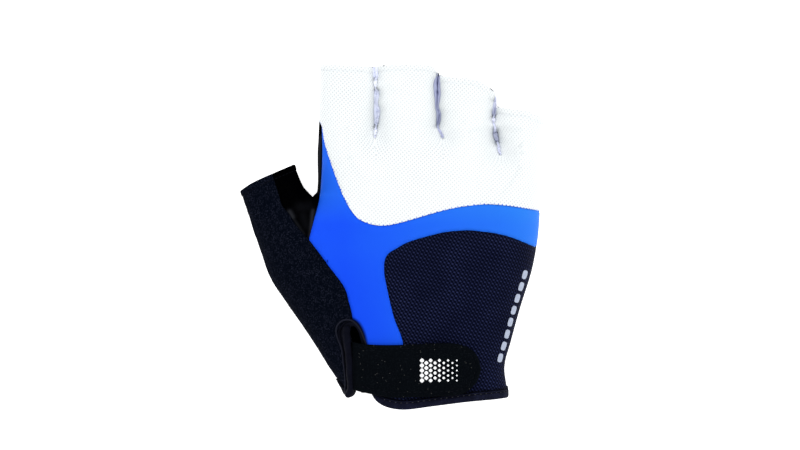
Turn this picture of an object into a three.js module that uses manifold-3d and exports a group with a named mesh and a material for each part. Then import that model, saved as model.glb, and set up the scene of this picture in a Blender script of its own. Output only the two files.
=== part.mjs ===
// A right-hand fingerless cycling mitt, lying palm down as it is stored.
// Millimetres, +Z up, +Y towards the fingertips, +X towards the little finger, palm on z = 0.
import * as THREE from 'three';
import { mergeVertices } from 'three/addons/utils/BufferGeometryUtils.js';
import Module from 'manifold-3d';

// Driving sizes
const HAND_WIDTH = 94;
const GLOVE_LENGTH = 145.3;
const HAND_HEIGHT = 26;
const SEAM_HEIGHT = 7;
const PALM_ROUNDING = 8;
const WALL = 1.5;
const SEAM_GAP = 0.3;
const FINGER_GAP = 2.2;
const GUSSET_DEPTH = 4.6;
const GUSSET_REACH = 3.4;
const BINDING_WIDTH = 3.5;
const BINDING_PROUD = 0.5;
const BINDING_INSIDE = 0.4;
const ROLL_PROUD = 2.8;
const ROLL_WIDTH = 3.1;
const STRAP_LENGTH = 54;
const STRAP_WIDTH = 22;
const STRAP_THICKNESS = 1.6;
const PAD_LENGTH = 26.5;
const PAD_WIDTH = 15;
const PAD_THICKNESS = 0.9;

// How far cutters reach past what they trim, and how high they are
const TRIM_OVERLAP = 1;
const OVERRUN = 30;
const CUT_BOTTOM = -20;
const CUT_HEIGHT = 120;

// Corners of a form closer than JOIN, and of a finished piece closer than WELD, are one corner
const JOIN = 1e-4;
const WELD = 0.004;

// How finely the form is divided
const STEPS_PER_SECTION = 2;
const ACROSS = [0, 0.08, 0.3, 0.7, 0.92, 1];

// Turns rows of numbers into rows with named columns.
function table(names, rows) {
  const columns = names.split(' ');
  return rows.map((row) => Object.fromEntries(columns.map((name, i) => [name, row[i]])));
}

// Sections across the hand. Columns: at is the share of the glove's length above the lowest hem;
// the five lines between and beside the fingers are shares of the hand's width from its middle;
// height is the share of the hand's height; round is how far in from an edge the back rises,
// as a share of the hand's width.
const HAND = table('at indexSide indexMiddle middleRing ringLittle littleSide height round', [
  [-0.045, -0.252, -0.118, 0.042, 0.194, 0.359, 0.72, 0.17],
  [0.050, -0.284, -0.135, 0.046, 0.215, 0.353, 0.74, 0.17],
  [0.125, -0.309, -0.148, 0.049, 0.232, 0.341, 0.78, 0.18],
  [0.200, -0.347, -0.161, 0.051, 0.249, 0.371, 0.84, 0.20],
  [0.290, -0.398, -0.176, 0.055, 0.269, 0.409, 0.92, 0.22],
  [0.400, -0.447, -0.194, 0.059, 0.289, 0.461, 1.00, 0.24],
  [0.500, -0.487, -0.209, 0.062, 0.306, 0.490, 1.00, 0.24],
  [0.606, -0.516, -0.226, 0.065, 0.319, 0.500, 0.97, 0.22],
  [0.635, -0.498, -0.230, 0.065, 0.319, 0.501, 0.96, 0.21],
  [0.739, -0.495, -0.236, 0.063, 0.319, 0.506, 0.88, 0.17],
  [0.788, -0.493, -0.239, 0.062, 0.309, 0.510, 0.82, 0.15],
  [0.840, -0.491, -0.235, 0.053, 0.301, 0.525, 0.74, 0.125],
  [0.900, -0.488, -0.230, 0.047, 0.304, 0.539, 0.66, 0.115],
  [0.960, -0.486, -0.231, 0.045, 0.305, 0.552, 0.60, 0.11],
  [1.045, -0.482, -0.232, 0.045, 0.308, 0.570, 0.57, 0.11],
]);

// Sections across the thumb. The first eight start on the hand's index side, row for row;
// the rest stand free of the hand. Columns: inner and outer are the two ends of the section.
const THUMB = table('innerSide innerAt outerSide outerAt height round', [
  [-0.252, -0.045, -0.342, -0.045, 0.72, 0.17],
  [-0.284, 0.050, -0.380, 0.052, 0.74, 0.17],
  [-0.309, 0.125, -0.450, 0.128, 0.76, 0.17],
  [-0.347, 0.200, -0.520, 0.199, 0.78, 0.17],
  [-0.398, 0.290, -0.600, 0.276, 0.80, 0.17],
  [-0.447, 0.400, -0.697, 0.368, 0.80, 0.16],
  [-0.487, 0.500, -0.745, 0.445, 0.75, 0.15],
  [-0.516, 0.606, -0.786, 0.522, 0.70, 0.14],
  [-0.560, 0.648, -0.814, 0.577, 0.67, 0.13],
  [-0.598, 0.710, -0.842, 0.633, 0.63, 0.125],
  [-0.618, 0.755, -0.865, 0.682, 0.62, 0.125],
]);

// The rows of HAND where each gap between two fingers, or beside the thumb, begins
const THUMB_CROTCH = 7;
const CROTCH = { indexMiddle: 10, middleRing: 10, ringLittle: 9 };

// Seams and rims in plan. Columns: side and at are shares of the hand's width and the glove's length.
const FINGER_RIM = table('side at', [
  [-0.574, 1.002], [-0.484, 0.999], [-0.234, 0.991], [-0.221, 0.995], [-0.083, 0.999], [0.016, 0.995],
  [0.040, 0.977], [0.056, 0.963], [0.158, 0.960], [0.230, 0.950], [0.297, 0.921], [0.315, 0.872],
  [0.440, 0.864], [0.525, 0.840], [0.640, 0.805],
]);

const THUMB_RIM = table('side at', [
  [-0.950, 0.588], [-0.842, 0.633], [-0.771, 0.661], [-0.598, 0.710], [-0.560, 0.724],
]);

const KNUCKLE_SEAM = table('side at', [
  [-0.520, 0.846], [-0.483, 0.825], [-0.465, 0.766], [-0.423, 0.685], [-0.380, 0.616], [-0.338, 0.569],
  [-0.296, 0.545], [-0.218, 0.532], [-0.128, 0.540], [0.062, 0.575], [0.190, 0.590], [0.315, 0.592],
  [0.542, 0.571],
]);

const INDEX_SEAM = table('side at', [
  [-0.483, 0.825], [-0.477, 0.760], [-0.478, 0.690], [-0.487, 0.620], [-0.506, 0.560], [-0.535, 0.492],
]);

const THUMB_SEAM = table('side at', [
  [-0.535, 0.492], [-0.456, 0.424], [-0.379, 0.357], [-0.356, 0.312], [-0.339, 0.265], [-0.330, 0.200],
]);

const WEB_SEAM = table('side at', [
  [-0.535, 0.492], [-0.587, 0.531], [-0.621, 0.566], [-0.652, 0.591], [-0.670, 0.626], [-0.690, 0.666],
  [-0.725, 0.740],
]);

const BACK_SEAM = table('side at', [
  [-0.250, -0.040], [-0.190, 0.060], [-0.140, 0.135], [-0.114, 0.190], [-0.158, 0.274], [-0.192, 0.372],
  [-0.198, 0.407], [-0.195, 0.432], [-0.179, 0.451], [-0.148, 0.464], [-0.080, 0.487], [0.057, 0.511],
  [0.139, 0.517], [0.207, 0.517], [0.344, 0.503], [0.480, 0.470], [0.542, 0.455],
]);

// The hem of the back, from the little-finger side to the thumb side, with the wrist slit in it.
// Columns: binding is the share of the binding's full width; roll is 1 where the binding is rolled.
const BACK_RIM = table('side at binding roll', [
  [0.431, 0.042, 1, 0], [0.319, 0.032, 1, 0], [0.167, 0.023, 1, 0], [0.009, 0.010, 1, 0],
  [-0.107, 0.001, 1, 0], [-0.185, 0.008, 1, 0], [-0.234, 0.026, 0.8, 0], [-0.259, 0.054, 0.5, 0],
  [-0.272, 0.091, 0.5, 0], [-0.286, 0.138, 0.5, 0], [-0.297, 0.181, 0.5, 0], [-0.308, 0.216, 0.5, 0],
  [-0.326, 0.240, 0.5, 0], [-0.346, 0.242, 0.6, 0], [-0.352, 0.225, 0.9, 1], [-0.347, 0.200, 1, 1],
  [-0.337, 0.153, 1, 1], [-0.332, 0.103, 1, 1], [-0.326, 0.068, 1, 1], [-0.334, 0.045, 1, 1],
  [-0.354, 0.036, 1, 1], [-0.385, 0.050, 1, 0], [-0.420, 0.075, 1, 0],
]);

const PALM_RIM = table('side at binding', [
  [0.431, 0.052, 1], [0.341, 0.046, 1], [0.130, 0.062, 1], [-0.107, 0.072, 1], [-0.280, 0.072, 1],
  [-0.350, 0.056, 1], [-0.385, 0.066, 1], [-0.440, 0.105, 1],
]);

// The strap in plan. Columns: along is the share of its length, upper and lower are its two edges
// as shares of its width, measured from its middle line.
const STRAP = table('along upper lower', [
  [0.000, 0.515, -0.344], [0.110, 0.471, -0.424], [0.270, 0.458, -0.508], [0.450, 0.468, -0.506],
  [0.620, 0.498, -0.494], [0.800, 0.498, -0.479], [0.900, 0.439, -0.393], [0.955, 0.344, -0.260],
  [0.985, 0.219, -0.143], [1.000, 0.060, 0.000],
]);
const STRAP_START = { side: -0.333, at: 0.1145 };
const PAD_START = 0.42;

const wasm = await Module();
wasm.setup();

// A closed mesh as a solid for joining and cutting, and back
function solidFrom(geometry) {
  const bare = geometry.clone();
  bare.deleteAttribute('normal');
  bare.deleteAttribute('uv');
  const mesh = mergeVertices(bare, JOIN);
  return new wasm.Manifold(new wasm.Mesh({
    numProp: 3,
    vertProperties: new Float32Array(mesh.attributes.position.array),
    triVerts: new Uint32Array(mesh.index.array),
  }));
}

function geometryFrom(solid) {
  const { vertProperties, triVerts } = solid.getMesh();
  const geometry = new THREE.BufferGeometry();
  geometry.setAttribute('position', new THREE.BufferAttribute(new Float32Array(vertProperties), 3));
  geometry.setIndex(new THREE.BufferAttribute(new Uint32Array(triVerts), 1));
  geometry.computeVertexNormals();
  return geometry;
}

// The mesh of a finished piece, without the specks that cuts leave where they nearly meet a corner
function pieceFrom(solid) {
  const { vertProperties, triVerts } = solid.getMesh();
  const rough = new THREE.BufferGeometry();
  rough.setAttribute('position', new THREE.BufferAttribute(new Float32Array(vertProperties), 3));
  rough.setIndex(new THREE.BufferAttribute(new Uint32Array(triVerts), 1));
  const geometry = mergeVertices(rough, WELD);
  const corners = geometry.index.array;
  const kept = [];
  for (let i = 0; i < corners.length; i += 3) {
    const [a, b, c] = [corners[i], corners[i + 1], corners[i + 2]];
    if (a !== b && b !== c && c !== a) {
      kept.push(a, b, c);
    }
  }
  geometry.setIndex(kept);
  geometry.computeVertexNormals();
  return geometry;
}

// Shares to millimetres in plan
function place(side, at) {
  return new THREE.Vector2(side * HAND_WIDTH, at * GLOVE_LENGTH);
}

// Values at even steps along a smooth curve through the rows of one column
function smooth(rows, read, steps) {
  const curve = new THREE.CatmullRomCurve3(rows.map(read), false, 'catmullrom', 0.5);
  return curve.getPoints((rows.length - 1) * steps);
}

function planCurve(rows, steps = STEPS_PER_SECTION) {
  const at = (row) => new THREE.Vector3(row.side * HAND_WIDTH, row.at * GLOVE_LENGTH, 0);
  return smooth(rows, at, steps).map((point) => new THREE.Vector2(point.x, point.y));
}

// A line of the form: its points in plan, with the height and rounding of the back at each
function formLine(rows, side, at) {
  const plan = smooth(rows, (row) => {
    const point = place(row[side], row[at]);
    return new THREE.Vector3(point.x, point.y, 0);
  }, STEPS_PER_SECTION);
  const lift = smooth(rows, (row) => new THREE.Vector3(row.height, row.round, 0), STEPS_PER_SECTION);
  return plan.map((point, i) => ({
    x: point.x,
    y: point.y,
    height: lift[i].x * HAND_HEIGHT,
    round: lift[i].y * HAND_WIDTH,
  }));
}

// The same line moved sideways by half a finger gap from the crotch row on
function shifted(line, crotchRow, distance) {
  const first = crotchRow * STEPS_PER_SECTION;
  return line.map((point, i) => ({ ...point, x: point.x + (i > first ? distance : 0) }));
}

const indexSide = formLine(HAND, 'indexSide', 'at');
const littleSide = formLine(HAND, 'littleSide', 'at');
const thumbOuter = formLine(THUMB, 'outerSide', 'outerAt');
const thumbRow = THUMB_CROTCH * STEPS_PER_SECTION;
const thumbFree = formLine(THUMB, 'innerSide', 'innerAt').slice(thumbRow + 1);
const thumbInner = [...indexSide.slice(0, thumbRow + 1), ...thumbFree];

// Five strips side by side, each between two lines of the form
const strips = [{ left: thumbOuter, right: thumbInner }];
const edges = [thumbOuter, littleSide, thumbInner.slice(thumbRow), indexSide.slice(thumbRow)];
let leftLine = indexSide;
for (const gap of ['indexMiddle', 'middleRing', 'ringLittle']) {
  const line = formLine(HAND, gap, 'at');
  const left = shifted(line, CROTCH[gap], -FINGER_GAP / 2);
  const right = shifted(line, CROTCH[gap], FINGER_GAP / 2);
  const first = CROTCH[gap] * STEPS_PER_SECTION;
  strips.push({ left: leftLine, right: left });
  edges.push(left.slice(first), right.slice(first));
  leftLine = right;
}
strips.push({ left: leftLine, right: littleSide });

// Distance in plan from a point to the nearest folded edge of the glove
function edgeDistance(x, y) {
  let nearest = Infinity;
  for (const edge of edges) {
    for (let i = 1; i < edge.length; i += 1) {
      const a = edge[i - 1];
      const b = edge[i];
      const dx = b.x - a.x;
      const dy = b.y - a.y;
      const along = ((x - a.x) * dx + (y - a.y) * dy) / (dx * dx + dy * dy);
      const t = Math.min(1, Math.max(0, along));
      nearest = Math.min(nearest, Math.hypot(x - a.x - t * dx, y - a.y - t * dy));
    }
  }
  return nearest;
}

// The share of its full height that a rounded side has reached at a share of its rounding
function swell(share) {
  return share < 1 ? Math.sqrt(1 - (1 - share) ** 2) : 1;
}

// One point of the form: where it lies in plan, and how high its back and its palm are there
function formPoint(a, b, share) {
  const x = a.x + (b.x - a.x) * share;
  const y = a.y + (b.y - a.y) * share;
  const height = a.height + (b.height - a.height) * share;
  const round = a.round + (b.round - a.round) * share;
  const distance = edgeDistance(x, y);
  const top = SEAM_HEIGHT + (height - SEAM_HEIGHT) * swell(distance / round);
  const bottom = SEAM_HEIGHT * (1 - swell(distance / PALM_ROUNDING));
  return { top: [x, y, top], bottom: [x, y, bottom] };
}

// The closed form of the whole glove, filled, running on past its openings
function formGeometry() {
  const corners = [];
  const quad = (a, b, c, d) => corners.push(...a, ...b, ...c, ...a, ...c, ...d);
  for (const { left, right } of strips) {
    const rows = left.map((_, i) => ACROSS.map((share) => formPoint(left[i], right[i], share)));
    for (let i = 0; i + 1 < rows.length; i += 1) {
      for (let j = 0; j + 1 < ACROSS.length; j += 1) {
        const [a, b, c, d] = [rows[i][j], rows[i][j + 1], rows[i + 1][j + 1], rows[i + 1][j]];
        quad(a.top, b.top, c.top, d.top);
        quad(a.bottom, d.bottom, c.bottom, b.bottom);
      }
    }
    for (let j = 0; j + 1 < ACROSS.length; j += 1) {
      const [a, b] = [rows[0][j], rows[0][j + 1]];
      const [c, d] = [rows.at(-1)[j], rows.at(-1)[j + 1]];
      quad(a.bottom, b.bottom, b.top, a.top);
      quad(d.bottom, c.bottom, c.top, d.top);
    }
  }
  const geometry = new THREE.BufferGeometry();
  geometry.setAttribute('position', new THREE.Float32BufferAttribute(corners, 3));
  return solidFrom(geometry);
}

const form = geometryFrom(formGeometry());

// The form grown or shrunk by a distance along its own surface directions
function grown(distance) {
  const geometry = form.clone();
  const position = geometry.attributes.position;
  const normal = form.attributes.normal;
  for (let i = 0; i < position.count; i += 1) {
    position.setXYZ(
      i,
      position.getX(i) + normal.getX(i) * distance,
      position.getY(i) + normal.getY(i) * distance,
      position.getZ(i) + normal.getZ(i) * distance,
    );
  }
  return solidFrom(geometry);
}

function layer(inside, outside) {
  return grown(outside).subtract(grown(inside));
}

// An upright cutter over an outline in plan
function prism(points, bottom = CUT_BOTTOM, height = CUT_HEIGHT) {
  const geometry = new THREE.ExtrudeGeometry(new THREE.Shape(points), { depth: height, bevelEnabled: false });
  geometry.translate(0, 0, bottom);
  return solidFrom(geometry);
}

// A curve in plan moved to its left by a distance, or by one distance for each of its points
function beside(points, distance) {
  return points.map((point, i) => {
    const before = points[Math.max(0, i - 1)];
    const after = points[Math.min(points.length - 1, i + 1)];
    const along = after.clone().sub(before).normalize();
    const reach = Array.isArray(distance) ? distance[i] : distance;
    return new THREE.Vector2(point.x - along.y * reach, point.y + along.x * reach);
  });
}

function band(points, left, right) {
  return [...beside(points, left), ...beside(points, right).reverse()];
}

// A curve in plan carried straight on past both of its ends
function carriedOn(points, reach) {
  const past = (end, next) => end.clone().add(end.clone().sub(next).setLength(reach));
  return [past(points[0], points[1]), ...points, past(points.at(-1), points.at(-2))];
}

// Corners well outside the glove, to close the outline of a cutter
const FAR = 2 * GLOVE_LENGTH;
const far = (x, y) => new THREE.Vector2(x * FAR, y * FAR);

// The curves of the seams and rims, and the widths of the binding along them
const fingerRim = planCurve(FINGER_RIM, 1);
const thumbRim = planCurve(THUMB_RIM, 1);
const knuckleSeam = planCurve(KNUCKLE_SEAM);
const indexSeam = planCurve(INDEX_SEAM);
const thumbSeam = planCurve(THUMB_SEAM);
const webSeam = planCurve(WEB_SEAM);
const backSeam = planCurve(BACK_SEAM);
const backRim = planCurve(BACK_RIM);
const palmRim = planCurve(PALM_RIM);

function bindingWidths(rows, extra) {
  return smooth(rows, (row) => new THREE.Vector3(row.binding * BINDING_WIDTH, 0, 0), STEPS_PER_SECTION)
    .map((width) => -width.x - extra);
}

// The whole wall of the glove, open at the wrist, the thumb and the fingers
const pastFingers = prism([...fingerRim, far(1, 1), far(-1, 1)]);
const thumbEndX = thumbRim[0].x - OVERRUN;
const thumbEndY = thumbRim.at(-1).y + OVERRUN;
const pastThumb = prism([
  ...thumbRim,
  new THREE.Vector2(thumbRim.at(-1).x, thumbEndY),
  new THREE.Vector2(thumbEndX, thumbEndY),
  new THREE.Vector2(thumbEndX, thumbRim[0].y),
]);
const belowRim = (rim) => [...rim, far(-1, 0), far(-1, -1), far(1, -1), far(1, 0)];
const ends = pastFingers
  .add(pastThumb)
  .add(prism(belowRim(backRim), SEAM_HEIGHT))
  .add(prism(belowRim(palmRim), CUT_BOTTOM, SEAM_HEIGHT - CUT_BOTTOM));
const wall = layer(-WALL, 0).subtract(ends);

// The binding round the wrist and its slit, thicker than the wall, and its rolled stretch
function bindingCutter(extra) {
  const backBand = band(backRim, TRIM_OVERLAP, bindingWidths(BACK_RIM, extra));
  const palmBand = band(palmRim, TRIM_OVERLAP, bindingWidths(PALM_RIM, extra));
  return prism(backBand, SEAM_HEIGHT)
    .add(prism(palmBand, CUT_BOTTOM, SEAM_HEIGHT - CUT_BOTTOM));
}
const bindingPlan = bindingCutter(0);
const bindingSpace = bindingCutter(SEAM_GAP);
const rollFirst = BACK_RIM.findIndex((row) => row.roll === 1) * STEPS_PER_SECTION;
const rollLast = BACK_RIM.findLastIndex((row) => row.roll === 1) * STEPS_PER_SECTION;
const rollLine = backRim.slice(rollFirst, rollLast + 1);
const rollPlan = prism(band(rollLine, TRIM_OVERLAP, -ROLL_WIDTH), SEAM_HEIGHT);
const rollSpace = prism(band(rollLine, SEAM_GAP, -ROLL_WIDTH - SEAM_GAP), SEAM_HEIGHT);
const aboveFloor = prism([far(-1, -1), far(1, -1), far(1, 1), far(-1, 1)], 0);
const binding = layer(-WALL - BINDING_INSIDE, BINDING_PROUD).intersect(bindingPlan)
  .add(layer(-WALL, ROLL_PROUD).intersect(rollPlan))
  .intersect(aboveFloor)
  .subtract(ends);

// The strips let in between the fingers, each round both sides of its gap
const halfDepth = GUSSET_DEPTH / 2;
function gapOutline(gap) {
  const rows = HAND.slice(CROTCH[gap]).map((row) => ({ side: row[gap], at: row.at }));
  const line = planCurve(rows);
  const crotch = line[0].clone().setY(line[0].y - GUSSET_REACH);
  const reach = FINGER_GAP / 2 + GUSSET_REACH;
  return band([crotch, ...line], reach, -reach);
}
const gussets = {};
const gussetSpaces = [];
for (const gap of Object.keys(CROTCH)) {
  const outline = gapOutline(gap);
  const slab = prism(outline, SEAM_HEIGHT - halfDepth, GUSSET_DEPTH);
  gussets[gap] = wall.intersect(slab);
  gussetSpaces.push(prism(outline, SEAM_HEIGHT - halfDepth - SEAM_GAP, GUSSET_DEPTH + 2 * SEAM_GAP));
}

// The seams between the panels, as narrow upright cuts, and the level seam round the hand
const seamCuts = [knuckleSeam, indexSeam, thumbSeam, webSeam, backSeam]
  .map((seam) => prism(band(carriedOn(seam, SEAM_GAP), SEAM_GAP / 2, -SEAM_GAP / 2)));
const sideSeam = prism([far(-1, -1), far(1, -1), far(1, 1), far(-1, 1)], SEAM_HEIGHT - SEAM_GAP / 2, SEAM_GAP);
const rest = [bindingSpace, sideSeam, ...gussetSpaces].reduce((solid, cut) => solid.subtract(cut), wall);
const abovePlane = prism([far(-1, -1), far(1, -1), far(1, 1), far(-1, 1)], SEAM_HEIGHT);
const back = seamCuts.reduce((solid, cut) => solid.subtract(cut), rest.intersect(abovePlane));
const palm = rest.subtract(abovePlane);

// The outlines of the panels of the back, between the seams
const reversed = (points) => [...points].reverse();
const slitMiddle = new THREE.Vector2(thumbSeam.at(-1).x, -OVERRUN);
const knucklePlan = prism([...knuckleSeam, new THREE.Vector2(FAR, knuckleSeam.at(-1).y), far(1, 1), far(-1, 1)]);
const webPlan = prism([...reversed(webSeam), ...indexSeam.slice(0, -1).reverse(), knuckleSeam[0],
  new THREE.Vector2(knuckleSeam[0].x - OVERRUN, knuckleSeam[0].y)]);
const thumbPlan = prism([...reversed(webSeam), ...thumbSeam.slice(1), slitMiddle, far(-1, -1), far(-1, 1)]);
const bandPlan = prism([...reversed(indexSeam), ...knuckleSeam.slice(STEPS_PER_SECTION + 1),
  ...reversed(backSeam), slitMiddle, ...thumbSeam.slice(1).reverse()]);
const backPlan = prism([...reversed(backSeam), new THREE.Vector2(backSeam[0].x, -FAR), far(1, -1)]);

// The strap over the back of the wrist, and the hook pad under its free end
const strapMiddle = place(STRAP_START.side, STRAP_START.at);
const strapUpper = STRAP.map(({ along, upper }) => (
  new THREE.Vector2(strapMiddle.x + along * STRAP_LENGTH, strapMiddle.y + upper * STRAP_WIDTH)));
const strapLower = STRAP.map(({ along, lower }) => (
  new THREE.Vector2(strapMiddle.x + along * STRAP_LENGTH, strapMiddle.y + lower * STRAP_WIDTH)));
const strapPlan = prism([...strapLower, ...reversed(strapUpper)], SEAM_HEIGHT);
const padBottom = SEAM_GAP;
const strapBottom = padBottom + PAD_THICKNESS + SEAM_GAP;
const strap = layer(strapBottom, strapBottom + STRAP_THICKNESS).intersect(strapPlan).subtract(rollSpace);
const padX = strapMiddle.x + PAD_START * STRAP_LENGTH;
const padPlan = prism([
  new THREE.Vector2(padX, strapMiddle.y - PAD_WIDTH / 2),
  new THREE.Vector2(padX + PAD_LENGTH, strapMiddle.y - PAD_WIDTH / 2),
  new THREE.Vector2(padX + PAD_LENGTH, strapMiddle.y + PAD_WIDTH / 2),
  new THREE.Vector2(padX, strapMiddle.y + PAD_WIDTH / 2),
], SEAM_HEIGHT);
const pad = layer(padBottom, padBottom + PAD_THICKNESS).intersect(padPlan);

// Colours and finishes
const finishes = {
  airMesh: { color: '#f3f6f7', roughness: 0.8, metalness: 0 },
  stretch: { color: '#1c5cff', roughness: 0.55, metalness: 0 },
  ribbedMesh: { color: '#0f1232', roughness: 0.75, metalness: 0 },
  towelling: { color: '#07080f', roughness: 0.95, metalness: 0 },
  suede: { color: '#0b0c0e', roughness: 0.8, metalness: 0 },
  tape: { color: '#15162a', roughness: 0.7, metalness: 0 },
  lining: { color: '#b9bde0', roughness: 0.7, metalness: 0 },
  hook: { color: '#101114', roughness: 0.6, metalness: 0 },
};

const pieces = [
  { name: 'palm', solid: palm, finish: finishes.suede },
  { name: 'knuckle_panel', solid: back.intersect(knucklePlan), finish: finishes.airMesh },
  { name: 'side_band', solid: back.intersect(bandPlan), finish: finishes.stretch },
  { name: 'back_panel', solid: back.intersect(backPlan), finish: finishes.ribbedMesh },
  { name: 'thumb_panel', solid: back.intersect(thumbPlan), finish: finishes.towelling },
  { name: 'thumb_web', solid: back.intersect(webPlan), finish: finishes.suede },
  { name: 'gusset_index_middle', solid: gussets.indexMiddle, finish: finishes.lining },
  { name: 'gusset_middle_ring', solid: gussets.middleRing, finish: finishes.lining },
  { name: 'gusset_ring_little', solid: gussets.ringLittle, finish: finishes.lining },
  { name: 'wrist_binding', solid: binding, finish: finishes.tape },
  { name: 'wrist_strap', solid: strap, finish: finishes.suede },
  { name: 'strap_hook_pad', solid: pad, finish: finishes.hook },
];

const assembly = new THREE.Group();
for (const { name, solid, finish } of pieces) {
  const mesh = new THREE.Mesh(pieceFrom(solid), new THREE.MeshStandardMaterial(finish));
  mesh.name = name;
  assembly.add(mesh);
}

// The origin is under the middle of the glove, on the surface that it lies on
const box = new THREE.Box3().setFromObject(assembly);
const middle = box.getCenter(new THREE.Vector3());
assembly.position.set(-middle.x, -middle.y, -box.min.z);

const glove = new THREE.Group();
glove.add(assembly);

export default glove;
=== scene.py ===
import math

import bpy
import numpy as np
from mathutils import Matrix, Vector, noise
from mathutils.bvhtree import BVHTree


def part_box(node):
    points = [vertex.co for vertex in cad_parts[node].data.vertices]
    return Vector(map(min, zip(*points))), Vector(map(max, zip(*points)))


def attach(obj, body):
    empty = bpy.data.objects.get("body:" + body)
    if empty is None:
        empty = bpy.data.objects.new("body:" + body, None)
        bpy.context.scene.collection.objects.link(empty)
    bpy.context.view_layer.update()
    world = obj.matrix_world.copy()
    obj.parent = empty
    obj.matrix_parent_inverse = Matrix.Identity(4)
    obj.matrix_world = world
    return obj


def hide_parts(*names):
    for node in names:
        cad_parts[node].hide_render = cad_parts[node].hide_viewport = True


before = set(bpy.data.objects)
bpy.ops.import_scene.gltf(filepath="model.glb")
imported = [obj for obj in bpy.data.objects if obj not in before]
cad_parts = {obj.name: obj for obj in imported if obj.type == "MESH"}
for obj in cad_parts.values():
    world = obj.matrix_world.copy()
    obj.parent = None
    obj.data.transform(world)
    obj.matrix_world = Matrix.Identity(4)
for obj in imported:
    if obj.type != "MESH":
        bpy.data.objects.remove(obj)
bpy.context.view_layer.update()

# Table, light and camera
# The mitt lies on a white light table under broad, even light, and is seen from straight above
# through a very long lens, fingertips up, as it lies in a shop picture.
PICTURE_WIDTH = 0.336
LENS_MM = 500
SENSOR_MM = 36
AIM = Vector((0.0029, 0.0049, 0.010))

table_data = bpy.data.meshes.new("table_top")
TABLE_HALF = 3.0
corners = [(x * TABLE_HALF, y * TABLE_HALF, 0) for x, y in ((-1, -1), (1, -1), (1, 1), (-1, 1))]
table_data.from_pydata(corners, [], [(0, 1, 2, 3)])
table_top = bpy.data.objects.new("table_top", table_data)
bpy.context.scene.collection.objects.link(table_top)
white_top = bpy.data.materials.new("white_top")
white_top.use_nodes = True
top_shader = white_top.node_tree.nodes["Principled BSDF"]
top_shader.inputs["Base Color"].default_value = (0.93, 0.935, 0.94, 1)
top_shader.inputs["Roughness"].default_value = 0.9
top_shader.inputs["Emission Color"].default_value = (1, 1, 1, 1)
top_shader.inputs["Emission Strength"].default_value = 0.75
table_data.materials.append(white_top)


def softbox(name, place, aim, size, watts):
    """A square studio light, turned to face what it lights."""
    data = bpy.data.lights.new(name, "AREA")
    data.shape = "SQUARE"
    data.size = size
    data.energy = watts
    lamp = bpy.data.objects.new(name, data)
    lamp.location = place
    lamp.rotation_euler = (Vector(aim) - Vector(place)).to_track_quat("-Z", "Y").to_euler()
    bpy.context.scene.collection.objects.link(lamp)


softbox("upper_left_softbox", (-0.9, 0.9, 1.3), (0, 0, 0), 1.2, 16)
softbox("right_softbox", (1.1, -0.3, 1.5), (0, 0, 0), 1.4, 19)

sky = bpy.data.worlds.new("even_white")
sky.use_nodes = True
sky.node_tree.nodes["Background"].inputs["Color"].default_value = (1, 1, 1, 1)
sky.node_tree.nodes["Background"].inputs["Strength"].default_value = 0.78
bpy.context.scene.world = sky
bpy.context.scene.view_settings.view_transform = "Standard"

camera_data = bpy.data.cameras.new("overhead_camera")
camera_data.lens = LENS_MM
camera_data.sensor_width = SENSOR_MM
camera = bpy.data.objects.new("overhead_camera", camera_data)
camera.location = AIM + Vector((0, 0, PICTURE_WIDTH * LENS_MM / SENSOR_MM))
bpy.context.scene.collection.objects.link(camera)
bpy.context.scene.camera = camera

# Palm
# One piece of thin black synthetic leather: the whole underside of hand, fingers and thumb. It is cut
# to the outline of the mitt and curls up to the side seam; the other pieces are cut to the same form.
HAND_WIDTH = 0.094
GLOVE_LENGTH = 0.1453
HAND_HEIGHT = 0.026
SEAM_HEIGHT = 0.007
PALM_ROUNDING = 0.008
GUSSET_DEPTH = 0.0046
CLOTH = 0.0011
GRID = 0.0011
COLUMNS = 30
THUMB_COLUMNS = 40
STRAP_LENGTH = 0.054
PAD_START = 0.42
STRAP_START = (-0.333, 0.1145)
PAD_WIDTH = 0.015


def columns(names, rows):
    """A table as one array for each named column."""
    return dict(zip(names.split(), np.array(rows, float).T))


# Sections across the hand. Columns: at is the share of the length; the five lines are shares of the
# width from its middle; height is a share of the hand's height, round of its width.
HAND = columns("at index_side index_middle middle_ring ring_little little_side height round", [
    (-0.045, -0.252, -0.118, 0.042, 0.194, 0.359, 0.72, 0.17),
    (0.050, -0.284, -0.135, 0.046, 0.215, 0.353, 0.74, 0.17),
    (0.125, -0.309, -0.148, 0.049, 0.232, 0.341, 0.78, 0.18),
    (0.200, -0.347, -0.161, 0.051, 0.249, 0.371, 0.84, 0.20),
    (0.290, -0.398, -0.176, 0.055, 0.269, 0.409, 0.92, 0.22),
    (0.400, -0.447, -0.194, 0.059, 0.289, 0.461, 1.00, 0.24),
    (0.500, -0.487, -0.209, 0.062, 0.306, 0.490, 1.00, 0.24),
    (0.606, -0.516, -0.226, 0.065, 0.319, 0.500, 0.97, 0.22),
    (0.635, -0.498, -0.230, 0.065, 0.319, 0.501, 0.96, 0.21),
    (0.739, -0.495, -0.236, 0.063, 0.319, 0.506, 0.88, 0.17),
    (0.788, -0.493, -0.239, 0.062, 0.309, 0.510, 0.82, 0.15),
    (0.840, -0.491, -0.235, 0.053, 0.301, 0.525, 0.74, 0.125),
    (0.900, -0.488, -0.230, 0.047, 0.304, 0.539, 0.66, 0.115),
    (0.960, -0.486, -0.231, 0.045, 0.305, 0.552, 0.60, 0.11),
    (1.045, -0.482, -0.232, 0.045, 0.308, 0.570, 0.57, 0.11),
])
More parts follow.
